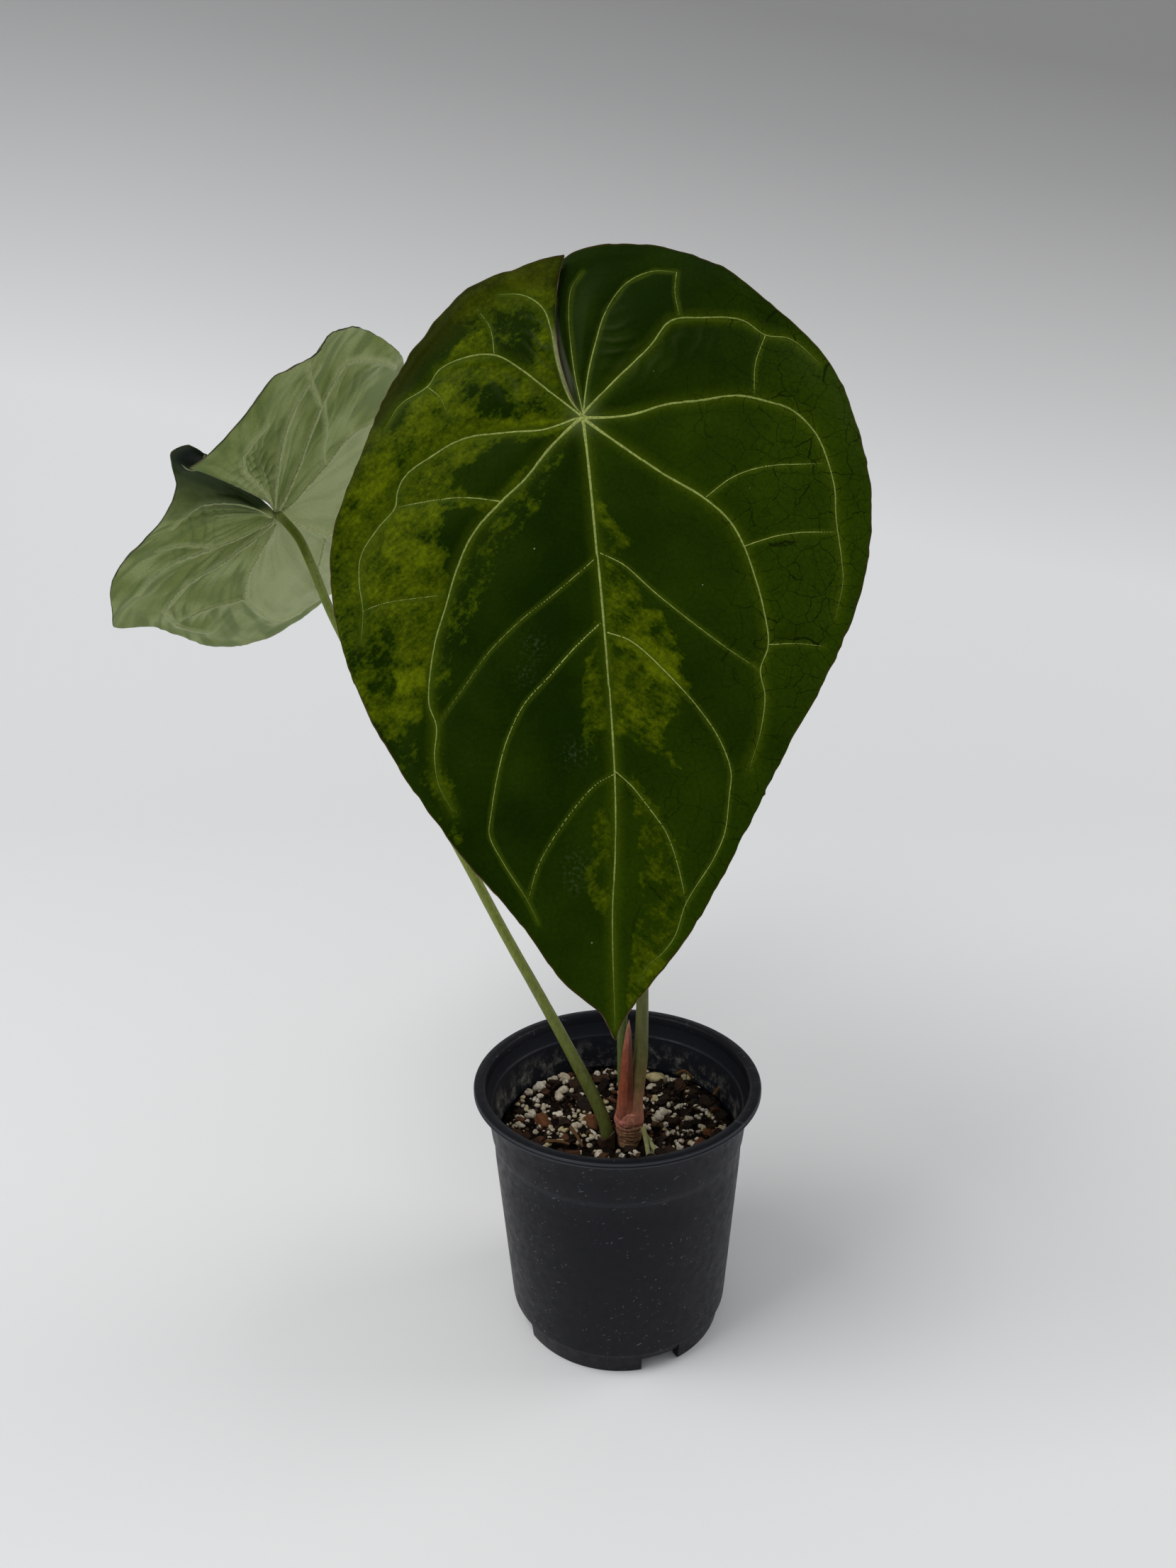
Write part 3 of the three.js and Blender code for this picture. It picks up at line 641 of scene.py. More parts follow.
# Yellow-green mottling of the front leaf: how solid each zone is, or how dark if negative, and its outline
ZONES = [
    (0.62, [(-5, 54), (-16, 53), (-38, 43), (-54, 26), (-66, 11), (-78, -16), (-84, -31), (-84, -60),
            (-78, -84), (-72, -93), (-67, -98), (-62, -99), (-55, -91), (-53, -80), (-50, -67),
            (-46, -56), (-42, -45), (-36, -34), (-27, -25), (-16, -15), (-3, -3), (-2, 0), (-5, 6),
            (-7, 19), (-7, 34)]),
    (0.42, [(-3, -3), (-8, -18), (-17, -30), (-26, -45), (-35, -58), (-42, -71), (-45, -85), (-50, -92),
            (-53, -87), (-50, -67), (-42, -45), (-27, -25)]),
    (0.4, [(-53, -87), (-50, -92), (-49, -104), (-45, -117), (-41, -137), (-46, -134), (-54, -120),
           (-55, -104)]),
    (0.34, [(-71, -92), (-62, -99), (-55, -91), (-53, -104), (-50, -118), (-44, -136), (-50, -132),
            (-62, -112)]),
    (0.5, [(2, -16), (5, -23), (9, -33), (13, -42), (11, -45), (3, -44)]),
    (0.58, [(3, -43), (10, -48), (15, -54), (19, -61), (22, -65), (26, -70), (27, -76), (26, -81),
            (29, -85), (28, -89), (24, -91), (26, -96), (21, -98), (19, -101), (23, -107), (24, -113),
            (20, -111), (15, -106), (7, -101), (4, -99), (3, -80)]),
    (0.78, [(5, -69), (11, -69), (21, -71), (27, -76), (26, -81), (28, -85), (24, -88), (18, -82),
            (11, -76)]),
    (0.8, [(18, -105), (23, -107), (24, -113), (20, -111)]),
    (0.52, [(0, -62), (3, -80), (4, -104), (-2, -108), (-9, -105), (-8, -100), (-5, -93), (-6, -87),
            (-3, -76)]),
    (0.56, [(-2, -122), (2, -122), (2, -135), (1, -150), (0, -160), (-4, -160), (-8, -148), (-5, -136)]),
    (0.5, [(6, -106), (13, -116), (19, -124), (24, -137), (25, -150), (21, -162), (15, -169), (8, -163),
           (9, -145), (10, -130), (7, -118)]),
    (0.6, [(6, -158), (10, -163), (14, -168), (24, -166), (17, -175), (11, -182), (5, -188), (3, -188),
           (3, -178), (6, -170)]),
    (0.8, [(-63, -29), (-50, -37), (-50, -42), (-60, -47), (-68, -38)]),
    (0.92, [(-64, -76), (-54, -74), (-53, -82), (-64, -84)]),
    (0.8, [(-24, 50), (-9, 52), (-9, 38), (-16, 40), (-22, 44)]),
    (0.78, [(-51, -24), (-31, -24), (-41, -28), (-54, -29), (-60, -34)]),
    (0.72, [(-60, 6), (-48, 14), (-33, 18), (-20, 14), (-24, 8), (-40, 9), (-52, 0)]),
    (0.84, [(-30, 0), (-18, 3), (-4, 0), (-7, -2), (-26, -3), (-42, -8), (-48, -6)]),
    (0.74, [(-70, -8), (-60, -6), (-58, -18), (-68, -24), (-78, -20)]),
    (-0.45, [(-45, -27), (-30, -28), (-31, -33), (-37, -38), (-43, -48), (-47, -38)]),
    (-0.2, [(-38, 13), (-24, 12), (-18, 5), (-24, 1), (-38, 5)]),
    (-0.45, [(-30, -8), (-9, -5), (-9, -9), (-21, -16), (-30, -23), (-41, -21), (-40, -14)]),
    (-0.3, [(-70, 4), (-54, 28), (-40, 38), (-36, 28), (-50, 15), (-60, 2)]),
    (-0.17, [(-81, -49), (-71, -58), (-69, -69), (-62, -75), (-64, -86), (-76, -76), (-81, -64)]),
    (-0.2, [(-26, 38), (-14, 36), (-12, 22), (-20, 14), (-30, 26)]),
]

# Flakes of the mottling: the level where each tone begins, and the tone
FLAKE_EDGE = 0.028
FLAKES = [
    (0.34, (0.021, 0.039, 0.0003)),
    (0.41, (0.031, 0.051, 0.0004)),
    (0.48, (0.044, 0.066, 0.0006)),
    (0.55, (0.058, 0.082, 0.0008)),
    (0.63, (0.078, 0.107, 0.001)),
    (0.73, (0.1, 0.134, 0.0015)),
    (0.84, (0.118, 0.154, 0.002)),
]

# Pale colours laid on the front leaf: painted light on the crests of the wrinkles and on the strip by the
# right lobe's cleft, the left lobe's pale rolled lip with a painted highlight, and the paler hub; and
# places of dried water with their size
LEAF_MARKS = [
    ("lit_crest", (0.04, 0.055, 0.014), 0.4),
    ("strip", (0.075, 0.08, 0.048), 0.75),
    ("lip", (0.24, 0.25, 0.125), 0.9),
    ("hub", (0.1, 0.13, 0.035), 0.7),
]
WATER_MARKS = ((-22, -80, 3), (-19, -71, 3.5), (-8, -105, 4), (-9, -139, 4), (-10, -145, 3))

# Short wrinkles between veins: centre, half sizes, the direction that they run in, their pitch and height
WRINKLES_FRONT = [
    (11, 24, 5, 9, 20, 4.6, 0.22),
    (20, 17, 7, 5, 60, 4.4, 0.2),
    (-12.5, 24, 4.5, 11, -35, 4.2, 0.3),
    (33, 24, 8, 5, 80, 5.2, 0.15),
    (-22, 11, 8, 5, -60, 5.0, 0.2),
]
WRINKLES_BACK = [
    (-12, 26, 7, 12, 29, 3.8, 0.8),
    (-24, 33, 8, 8, 10, 4.2, 0.3),
    (14, 29, 9, 9, -42, 4.6, 0.45),
    (27, 22, 9, 8, -30, 5.0, 0.3),
    (-54, -2, 9, 12, 12, 4.6, 0.4),
    (-40, 16, 14, 5, 8, 5.2, 0.3),
    (56, -20, 9, 18, -10, 5.6, 0.35),
    (38, 8, 16, 7, -8, 6.0, 0.35),
]

# The back leaf's smooth panel round the midrib between the two lower main veins, painted pale as painted
# light on a facet that faces the light
CENTRE_PANEL = [
    (0, -1), (-25, -10), (-40, -17), (-49, -32), (-54, -55), (-50, -88), (-30, -130), (0, -170),
    (30, -128), (46, -90), (50, -73), (46, -47), (41, -29), (30, -16), (20, -10),
]


class Blade:
    """A leaf's upper surface. wedge counts the ribs round from the right margin, and s is 0 at the joint
    and 1 at the margin."""

    def __init__(self, leaf, arch):
        self.leaf = leaf
        self.arch = arch
        self.edge = spline(leaf["outline"], OUTLINE_STEPS + 1)
        ribs = leaf["ribs"]
        self.last = len(ribs) - 1
        ends = [np.argmin(np.hypot(*(self.edge - rib["end"]).T)) / OUTLINE_STEPS for rib in ribs]
        self.ends = np.array([0, *ends[1:-1], 1])
        self.far = np.array([rib["bend"] for rib in ribs]) * 2 / 3
        self.near = np.array([rib.get("start", far) for rib, far in zip(ribs, self.far)], float)
        turns = (Matrix.Rotation(math.radians(a), 3, axis) for a, axis in zip(leaf["turn"], "XYZ"))
        turn_x, turn_y, turn_z = turns
        self.rotation = np.array(turn_x @ turn_y @ turn_z)

    def wedge_at(self, t):
        """The wedge that ends at outline parameter t."""
        return np.interp(t, self.ends, np.arange(self.last + 1))

    def on_edge(self, t):
        whole = np.clip(t, 0, 1) * OUTLINE_STEPS
        places = np.arange(OUTLINE_STEPS + 1)
        return np.stack([np.interp(whole, places, axis) for axis in self.edge.T], -1)

    def surface(self, wedge, s):
        first = np.minimum(np.floor(wedge).astype(int), self.last - 1)
        part = (wedge - first)[..., None]
        t = self.ends[first] * (1 - part[..., 0]) + self.ends[first + 1] * part[..., 0]
        end = self.on_edge(t)
        near = self.near[first] * (1 - part) + self.near[first + 1] * part
        far = self.far[first] * (1 - part) + self.far[first + 1] * part + end / 3
        out = s[..., None]
        flat = 3 * out * (1 - out) ** 2 * near + 3 * out ** 2 * (1 - out) * far + out ** 3 * end
        x, y = flat[..., 0], flat[..., 1]
        from_cleft = np.minimum(wedge, self.last - wedge)
        lift = np.where(wedge < self.last / 2, *self.leaf["lift"])
        lobes = lift * smooth(np.hypot(x, y), 4, 20) * smooth(from_cleft, 2, 0.2)
        quilt = np.sin(np.pi * part[..., 0]) * np.sin(np.pi * np.minimum(1, 1.15 * s))
        waves = smooth(s, 0.6, 1) * np.sin(52 * t + 3 * np.sin(9 * t))
        puffed = self.leaf["quilting"] * quilt + self.leaf["wave"] * waves
        return np.stack([x, y, self.arch(x, y) + lobes + puffed], -1)

    def placed(self, points):
        return np.array(self.leaf["joint"]) + points @ self.rotation.T


def normals_of(points):
    """Unit normals of a grid of points, out of the upper side."""
    normal = np.cross(np.gradient(points, axis=1), np.gradient(points, axis=0))
    normal[:, 0] = normal[:, 3].mean(0)
    normal = unit(normal * np.sign(normal[..., 2:3] + 1e-9))
    # the rays meet at the joint, where the grid gives no sound direction
    trust = smooth(np.arange(points.shape[1]), 12, 80)[None, :, None]
    return unit(normal * trust + np.array([0, 0, 1]) * (1 - trust))


def vein_distance(x, y, right, veins):
    """Distance to the nearest vein on the same side of the midrib, in mm, and to the widest ones."""
    nearest = np.full(x.shape, 99.0)
    main = np.full(x.shape, 99.0)
    for name, (points, start, _) in veins.items():
        gap = gap_to(x, y, points)
        if name != "midrib":
            gap = np.where(right == (name[0] == "R"), gap, 99.0)
        nearest = np.minimum(nearest, gap)
        if start >= MAIN_VEIN:
            main = np.minimum(main, gap)
    return nearest, main


def wrinkles(x, y, zones):
    total = np.zeros(x.shape)
    for cx, cy, rx, ry, turn, pitch, height in zones:
        angle = math.radians(turn)
        u = (x - cx) * math.cos(angle) + (y - cy) * math.sin(angle)
        v = (y - cy) * math.cos(angle) - (x - cx) * math.sin(angle)
        wobble = 2.2 * noise(x / 6, y / 6, 5)
        wave = np.sin(2 * np.pi * (v + 0.15 * u) / pitch + wobble)
        total += height * bell(x - cx, rx) * bell(y - cy, ry) * wave
    return total


def fan_faces(rays, rings, upward, start=0):
    """Faces of a blade's skin: the joint comes first, and then ring after ring of each ray."""
    faces = [(0, 1 + i * rings, 1 + (i + 1) * rings) for i in range(rays - 1)]
    faces += [tuple(quad) for quad in grid_faces(rays, rings, start=1)]
    if upward:
        faces = [face[::-1] for face in faces]
    return [tuple(i + start for i in face) for face in faces]


def margin_run(rays, rings, start):
    """The points round a skin's margin, from the joint out along the first ray, round and back in."""
    first = [start] + [start + 1 + k for k in range(rings)]
    round_ = [start + 1 + i * rings + rings - 1 for i in range(1, rays - 1)]
    last = [start + 1 + (rays - 1) * rings + k for k in range(rings - 1, -1, -1)]
    return first + round_ + last + [start]


def stitch(fine, coarse):
    """Faces that join a fine margin run to one with half as many steps."""
    faces = []
    for k in range(len(coarse) - 1):
        a, b = coarse[k], coarse[k + 1]
        p, q, r = fine[2 * k], fine[2 * k + 1], fine[2 * k + 2]
        faces += [(p, q, a), (q, b, a), (q, r, b)]
    return [face for face in faces if len(set(face)) == 3]


class Leaf:
    """A blade with its finer relief, as a fine skin on the side that is seen and a coarser one behind."""

    def __init__(self, form, arch, veins, relief, seen_from_above):
        self.blade = Blade(form, arch)
        self.veins = veins
        self.above = seen_from_above
        t = np.linspace(0, 1, RAYS + 1)
        s = (np.arange(RINGS) + 1) / RINGS
        self.wedge, self.s = np.meshgrid(self.blade.wedge_at(t), s, indexing="ij")
        flat = self.blade.surface(self.wedge, self.s)
        ripple = 0.3 * noise(t * 110, 0 * t, 3) + 0.22 * noise(t * 260, 0 * t, 9)
        ripple = ripple[:, None] * smooth(self.s, 0.9, 1)
        flat[..., :2] *= 1 + (ripple / np.hypot(flat[..., 0], flat[..., 1]))[..., None]
        self.x, self.y = flat[..., 0], flat[..., 1]
        self.from_edge = (1 - self.s) * np.hypot(self.x[:, -1:], self.y[:, -1:])
        self.right = self.wedge < MIDRIB
        self.gap, self.main_gap = vein_distance(self.x, self.y, self.right, veins)
        flat[..., 2] += relief(self)
        self.upper = flat
        self.normal = normals_of(flat)
        self.centre = self.blade.surface(np.array([float(MIDRIB)]), np.array([0.0]))[0]
        self.centre[2] = flat[:, 0, 2].mean()

    def spot(self, x, y, size_x, size_y):
        """1 at a place and less with the distance from it."""
        return bell(self.x - x, size_x) * bell(self.y - y, size_y)

    def behind(self):
        """The lower skin: the blade's thickness below, thinner at the margin, and with the ribs."""
        thick = BLADE_THICKNESS * (1 - 0.35 * smooth(self.s, 0.9, 1)) + ribs_below(self)
        return self.upper - self.normal * thick[..., None]

    def build(self, name, material, values, slot, node):
        low_centre = self.centre - np.array([0, 0, BLADE_THICKNESS + RIB_HEIGHT])
        skins = [(self.upper, self.centre), (self.behind(), low_centre)]
        (seen, seen_centre), (hidden, hidden_centre) = skins if self.above else skins[::-1]
        coarse = hidden[::2, 1::2]
        rays, rings = self.x.shape
        half_rays, half_rings = coarse.shape[:2]
        start = 1 + rays * rings
        points = np.vstack([seen_centre, seen.reshape(-1, 3), hidden_centre, coarse.reshape(-1, 3)])
        faces = fan_faces(rays, rings, self.above)
        faces += fan_faces(half_rays, half_rings, not self.above, start)
        rim = stitch(margin_run(rays, rings, 0), margin_run(half_rays, half_rings, start))
        faces += rim if self.above else [face[::-1] for face in rim]
        full = {}
        for key, value in values.items():
            tail = value.shape[2:]
            pad = np.zeros((1, *tail)) + value[:, 0].mean(0)
            back = value[::2, 1::2].reshape(-1, *tail)
            full[key] = np.concatenate([pad, value.reshape(-1, *tail), pad, back])
        side = np.ones(len(points))
        side[start:] = 0
        full["upper"] = side if self.above else 1 - side
        adopt(mesh_object(name, self.blade.placed(points), faces, material, full), slot, node)


def half_tree(leaf, skin, right):
    """A search tree of the skin on one side of the midrib."""
    wedge = leaf.wedge[:, 0]
    part = skin[wedge <= MIDRIB + 0.3 if right else wedge >= MIDRIB - 0.3]
    return BVHTree.FromPolygons(part.reshape(-1, 3).tolist(), grid_faces(*part.shape[:2]))


def on_skin(tree, x, y, up):
    """The point of the skin at (x, y), and the normal there."""
    hit, normal, _, _ = tree.ray_cast(Vector((x, y, 40 * up)), Vector((0, 0, -up)))
    if hit is None:
        hit, normal, _, _ = tree.find_nearest(Vector((x, y, 0)))
    return [*hit, *(normal if normal.z * up > 0 else -normal)]


def vein_tubes(leaf, name, skin, material, slot, rise):
    """Low rounded ridges along the veins, half sunk in the skin that is seen."""
    up = 1 if leaf.above else -1
    halves = {"R": half_tree(leaf, skin, True), "L": half_tree(leaf, skin, False)}
    shape = Shape()
    for vein, (route, start, end) in leaf.veins.items():
        if math.hypot(*route[0]) < NEAR_JOINT:
            route = [(0, 0), *route]
        length = run_length(route)
        path = spline(route, max(4, int(length / VEIN_STEP)))
        tree = halves["R" if vein == "midrib" else vein[0]]
        placed = np.array([on_skin(tree, x, y, up) for x, y in path])
        along = np.linspace(0, 1, len(path))
        width = (start + (end - start) * along ** 0.7) * np.minimum(1, 0.15 + 5 * (1 - along))
        width *= 1 + 0.45 * np.exp(-np.hypot(*path.T) / 5)
        width *= 1 + 0.18 * noise(along * length / 2.5, 0 * along, len(vein))
        rings = tube(placed[:, :3], width / 2, 8, placed[:, 3:], squash=(2 * rise, 0.8))
        shape.add_rings(leaf.blade.placed(rings), along=along)
    shape.make(name, material, slot)


def margin_bead(leaf, name, material, slot):
    """The thin rolled margin, out along one side of the cleft, round the blade and back."""
    inner = RINGS // 12
    run, down = (np.concatenate([skin[0, inner:-1], skin[:, -1], skin[-1, -2:inner:-1]])
                 for skin in (leaf.upper, leaf.normal))
    path = run - 0.28 * down
    radius = 0.26 * (1 + 0.2 * noise(np.arange(len(path)) / 5.0, np.zeros(len(path)), 4))
    along = np.linspace(0, 1, len(path))
    shape = Shape()
    shape.add_rings(leaf.blade.placed(tube(path, radius, 6, down)), along=along)
    shape.make(name, material, slot)


def relief_front(leaf):
    """Grooves along the veins, puffed panels between them, and wrinkles by the cleft."""
    groove = -0.35 * bell(leaf.gap) * smooth(leaf.s, 0, 0.06)
    puff = 0.55 * (1 - bell(leaf.gap, 5)) * smooth(leaf.s, 1, 0.9)
    slow = 0.35 * cloud(leaf.x / 17, leaf.y / 17, 2, 3)
    return groove + puff + slow + wrinkles(leaf.x, leaf.y, WRINKLES_FRONT)


def relief_back(leaf):
    groove = -0.4 * bell(leaf.gap, 1.2) * smooth(leaf.s, 0, 0.06)
    puff = 1.3 * (1 - bell(leaf.gap, 6)) * smooth(leaf.s, 1, 0.9)
    folds = 0.5 * noise(leaf.wedge * 5, leaf.s * 2.2, 31) * (1 - 0.8 * centre_panel(leaf))
    folds *= smooth(leaf.s, 0.05, 0.3) * smooth(leaf.s, 1, 0.85)
    slow = 0.5 * cloud(leaf.x / 15, leaf.y / 15, 2, 8)
    return groove + puff + folds + slow + wrinkles(leaf.x, leaf.y, WRINKLES_BACK)


def centre_panel(leaf):
    """1 in the smooth panel on both sides of the back leaf's midrib, which is painted pale as painted
    light.
    """
    return smooth(inside(leaf.x, leaf.y, CENTRE_PANEL), -1.0, 1.0)


def cleft_shade(leaf):
    """How dark the lower lobe is beside the other lobe's margin, and at its turned-over hind tip."""
    gap = gap_to(leaf.x, leaf.y, leaf.upper[-1, ::6, :2])
    lobe = leaf.wedge < 2.2
    near_cleft = smooth(leaf.s, 0.06, 0.2) * smooth(leaf.wedge, 1.15, 0.85)
    shade = np.clip(1.5 * np.exp(-gap / 6) * lobe + 0.4 * near_cleft, 0, 1) * smooth(leaf.s, 0.06, 0.2)
    tip = np.exp(-(((leaf.x + 3.2) / 5.5) ** 2 + ((leaf.y - 54) / 6) ** 2) ** 2) * (leaf.wedge < 1.1)
    return shade, tip


def ribs_below(leaf):
    """How far the ribs stand out of the underside."""
    fade = (1 - 0.75 * leaf.s) * smooth(np.minimum(leaf.wedge, leaf.blade.last - leaf.wedge), 0, 0.5)
    return RIB_HEIGHT * bell(leaf.main_gap, 1.5) * fade + 0.35 * bell(leaf.gap, 1.2)


def mottling(leaf):
    """How likely each point is to be yellow-green, from 0 to 1."""
    x = leaf.x + 1.5 * noise(leaf.x / 4, leaf.y / 4, 21)
    y = leaf.y + 1.5 * noise(leaf.x / 4, leaf.y / 4, 22)
    share = np.zeros(x.shape)
    for strength, outline in ZONES:
        part = strength * smooth(inside(x, y, outline), -1.7, 1.7)
        share = np.maximum(share, part) if strength > 0 else share + part
    return np.clip(share, 0, 1)


def texture_place(leaf, u, v):
    """Where a texture is read, with another part of it on each side of the midrib."""
    return np.stack([u, v, np.where(leaf.right, 0, 60)], -1)


def net_of_lines(paint, vector, scale, low, high):
    """Thin lines between cells, as the smallest veins run."""
    warp = paint.noise(2 * scale, 4, vector, output="Color")
    inputs = {0: warp, 1: (0.5 / scale, 0.5 / scale, 0), 2: vector}
    bent = paint.node("VectorMath", inputs, operation="MULTIPLY_ADD").outputs["Vector"]
    return paint.step(paint.cells(scale, bent, feature="DISTANCE_TO_EDGE"), low, high)


def leaf_upper_material():
    paint = Paint("leaf_upper", roughness=0.5, specular=0.045)
    paint.inputs["Specular Tint"].default_value = (0.5, 0.7, 0.15, 1)
    flat = paint.vector("flat")
    broad = paint.noise(0.045, 4, flat)
    grainy = paint.noise(0.8, 6, flat, 0.65)
    # its own tone mixed with painted light: a painted sheen and lit panels on the right, painted shade on
    # the left
    tone_and_painted_light = paint.sum_of((broad, 1.3), (paint.value("tone_and_painted_light"), 1.0))
    tone_and_painted_light = paint.calculate("SUBTRACT", tone_and_painted_light, 0.55, clamp=True)
    paint.base = paint.mix(tone_and_painted_light, (0.0062, 0.0165, 0.0002), (0.022, 0.0445, 0.0005))
    # mottled yellow-green tissue, in nested ragged flakes
    coarse = paint.noise(0.13, 9, flat, 0.68)
    streak = paint.noise(0.55, 8, paint.vector("grain"), 0.72)
    level = paint.sum_of((paint.value("mottle"), 0.88), (coarse, 1.2), (streak, 0.8), (grainy, 0.35))
    level = paint.calculate("SUBTRACT", level, 1.195)
    tones = [(0.3, (0.014, 0.03, 0.0003))]
    for edge, color in FLAKES:
        tones += [(edge, tones[-1][1]), (edge + FLAKE_EDGE, color)]
    patched = paint.step(level, 0.32, 0.42)
    paint.cover(paint.ramp(level, tones), patched)
    paint.cover((0.02, 0.0225, 0.0003), paint.value("olive"), 0.7)
    # paler tissue beside the veins
    paint.cover((0.048, 0.075, 0.001), paint.step(paint.value("main_gap"), 4.2, 0.3), 0.42)
    paint.cover((0.05, 0.078, 0.003), paint.step(paint.value("gap"), 1.7, 0.2), 0.55)
    # dark nets of the smallest veins
    plain = paint.calculate("SUBTRACT", 1.0, paint.times(patched, 0.75))
    outer = paint.calculate("ADD", paint.times(paint.value("net"), 0.6), 0.35)
    paint.cover((0.0055, 0.011, 0.0003), net_of_lines(paint, flat, 0.12, 0.017, 0.004), plain, outer)
    fine_net = net_of_lines(paint, flat, 0.3, 0.045, 0.01)
    paint.cover((0.005, 0.01, 0.0003), fine_net, plain, paint.value("net"), 0.4)
    paint.shade(paint.ramp(grainy, ((0.3, (0.8, 0.81, 0.85)), (0.7, (1.18, 1.16, 1.14)))))
    paint.cover((0.045, 0.028, 0.008), paint.step(paint.value("edge"), 0.9, 0.2), 0.5)
    # painted light on the wrinkles' crests and on the strip by the cleft, a painted highlight on the pale
    # lip, and the paler hub
    for name, color, amount in LEAF_MARKS:
        paint.cover(color, paint.value(name), amount)
    # a few pale specks, and dried marks of water
    dots = paint.step(paint.cells(0.085, flat), 0.03, 0.018)
    paint.cover((0.3, 0.32, 0.22), dots, paint.step(broad, 0.5, 0.56), 0.8)
    paint.cover((0.04, 0.056, 0.024), paint.value("wet"), paint.step(grainy, 0.5, 0.62), 0.7)
    # the underside, paler and matt, with paler ribs
    below = paint.mix(coarse, (0.1, 0.14, 0.05), (0.165, 0.205, 0.09))
    below = paint.mix(paint.step(paint.value("gap"), 1.6, 0.4), below, (0.19, 0.235, 0.1))
    paint.base = paint.mix(paint.value("upper"), below, paint.base)
    return paint.done(grainy, depth_mm=0.12, strength=0.5)


def vein_material(name, color, tip):
    paint = Paint(name, roughness=0.5, specular=0.12)
    paint.base = paint.mix(paint.value("along"), color, tip)
    paint.shade(paint.mix(paint.step(paint.noise(1.2), 0.35, 0.65), (0.65, 0.65, 0.65), (1, 1, 1)))
    return paint.done()


def leaf_under_material():
    paint = Paint("leaf_under", roughness=0.5, specular=0.12)
    flat = paint.vector("flat")
    gap = paint.value("gap")
    panel = paint.value("panel")
    broad = paint.noise(0.05, 4, flat)
    paint.base = paint.mix(paint.step(broad, 0.35, 0.68), (0.185, 0.235, 0.06), (0.29, 0.345, 0.135))
    # painted light: the panel by the midrib is painted pale, as a facet that faces the light
    paint.cover((0.37, 0.42, 0.2), panel, 0.7)
    streak = paint.noise(0.5, 1.5, paint.vector("ray"), 0.4)
    outside = paint.calculate("SUBTRACT", 0.85, paint.times(panel, 0.6))
    paint.cover((0.135, 0.185, 0.05), paint.step(streak, 0.42, 0.64), outside)
    # painted shade along the puckers
    paint.cover((0.085, 0.13, 0.04), paint.value("fold"))
    paint.cover((0.37, 0.42, 0.19), paint.step(gap, 2.2, 0.2), 0.6)
    paint.shade(paint.ramp(paint.noise(1.2, 5, flat), ((0.3, (0.88, 0.88, 0.86)), (0.7, (1.1, 1.1, 1.12)))))
    paint.cover((0.012, 0.028, 0.004), paint.value("shade"), 0.93)
    paint.cover((0.01, 0.016, 0.012), paint.value("tip"))
    # the upper side, deep green with pale veins
    deep = paint.mix(broad, (0.008, 0.02, 0.001), (0.02, 0.042, 0.003))
    deep = paint.mix(paint.step(gap, 1.8, 0.5), deep, (0.03, 0.055, 0.004))
    deep = paint.mix(paint.step(gap, 0.6, 0.35), deep, (0.16, 0.21, 0.06))
    paint.cover(deep, paint.value("upper"))
    return paint.done(streak, depth_mm=0.3, strength=0.5)


def margin_material(edge, cleft):
    """Thin dry margin, paler along the cleft, where its run starts and ends."""
    paint = Paint("leaf_margin", roughness=0.55, specular=0.15)
    paint.base = paint.ramp(paint.noise(0.12, 4), tuple(zip((0.38, 0.5, 0.62), edge)))
    from_middle = paint.calculate("ABSOLUTE", paint.calculate("SUBTRACT", paint.value("along"), 0.5))
    paint.cover(cleft, paint.step(from_middle, 0.4, 0.42))
    return paint.done()


def front_values(leaf):
    """Where the front leaf is paler, partly as painted light, olive, netted, mottled or wet, and where
    painted light falls by the cleft and on the crests of its creases.
    """
    x, y, s = leaf.x, leaf.y, leaf.s
    across = np.abs(x)
    # partly its own tone and partly painted light: lighter towards the right margin, the tip and two right
    # panels, darker on the left and at the top of the right half
    tone_and_painted_light = 0.22 + 0.6 * smooth(x, 38, 80) - 0.25 * smooth(y, 0, 25) * leaf.right
    tone_and_painted_light += 0.35 * leaf.spot(48, -12, 24, 26) + 0.2 * leaf.spot(55, -70, 25, 30)
    tone_and_painted_light += (0.1 + 0.3 * smooth(x, -30, 20)) * smooth(y, -85, -140) - 0.2 * smooth(x, 5, -15)
    right_cleft, left_cleft = (gap_to(x, y, leaf.upper[ray, ::6, :2]) for ray in (0, -1))
    # the strip on the right lobe by the cleft is painted lighter as painted light, where it turns to the
    # light
    strip = smooth(right_cleft, 3.4, 2.4) * smooth(s, 0.08, 0.25) * smooth(s, 0.95, 0.7)
    # the left lobe's rolled lip by the cleft, pale with a painted highlight
    lip = smooth(left_cleft, 1.4, 1.0) * smooth(s, 0.06, 0.15) * smooth(s, 0.62, 0.42)
    return {
        "gap": leaf.gap,
        "main_gap": leaf.main_gap,
        "edge": leaf.from_edge,
        "flat": texture_place(leaf, x, y),
        "grain": texture_place(leaf, 0.64 * across + 0.77 * y, 0.3 * (0.77 * across - 0.64 * y)),
        "tone_and_painted_light": tone_and_painted_light,
        "olive": smooth(leaf.from_edge, 20, 5) * smooth(leaf.wedge, 8.3, 9.3),
        "net": np.maximum(smooth(x, 25, 60), 0.5 * smooth(x, -5, 20) * smooth(y, -70, -110)),
        "strip": strip * (leaf.wedge < 2),
        "lip": lip * (leaf.wedge > 9),
        "hub": leaf.spot(0, 0, 4.5, 4.5),
        # painted light on the crests of the wrinkles
        "lit_crest": np.clip(4 * wrinkles(x, y, WRINKLES_FRONT), 0, 1),
        "mottle": mottling(leaf),
        "wet": sum(leaf.spot(*place, size, size) for *place, size in WATER_MARKS),
    }


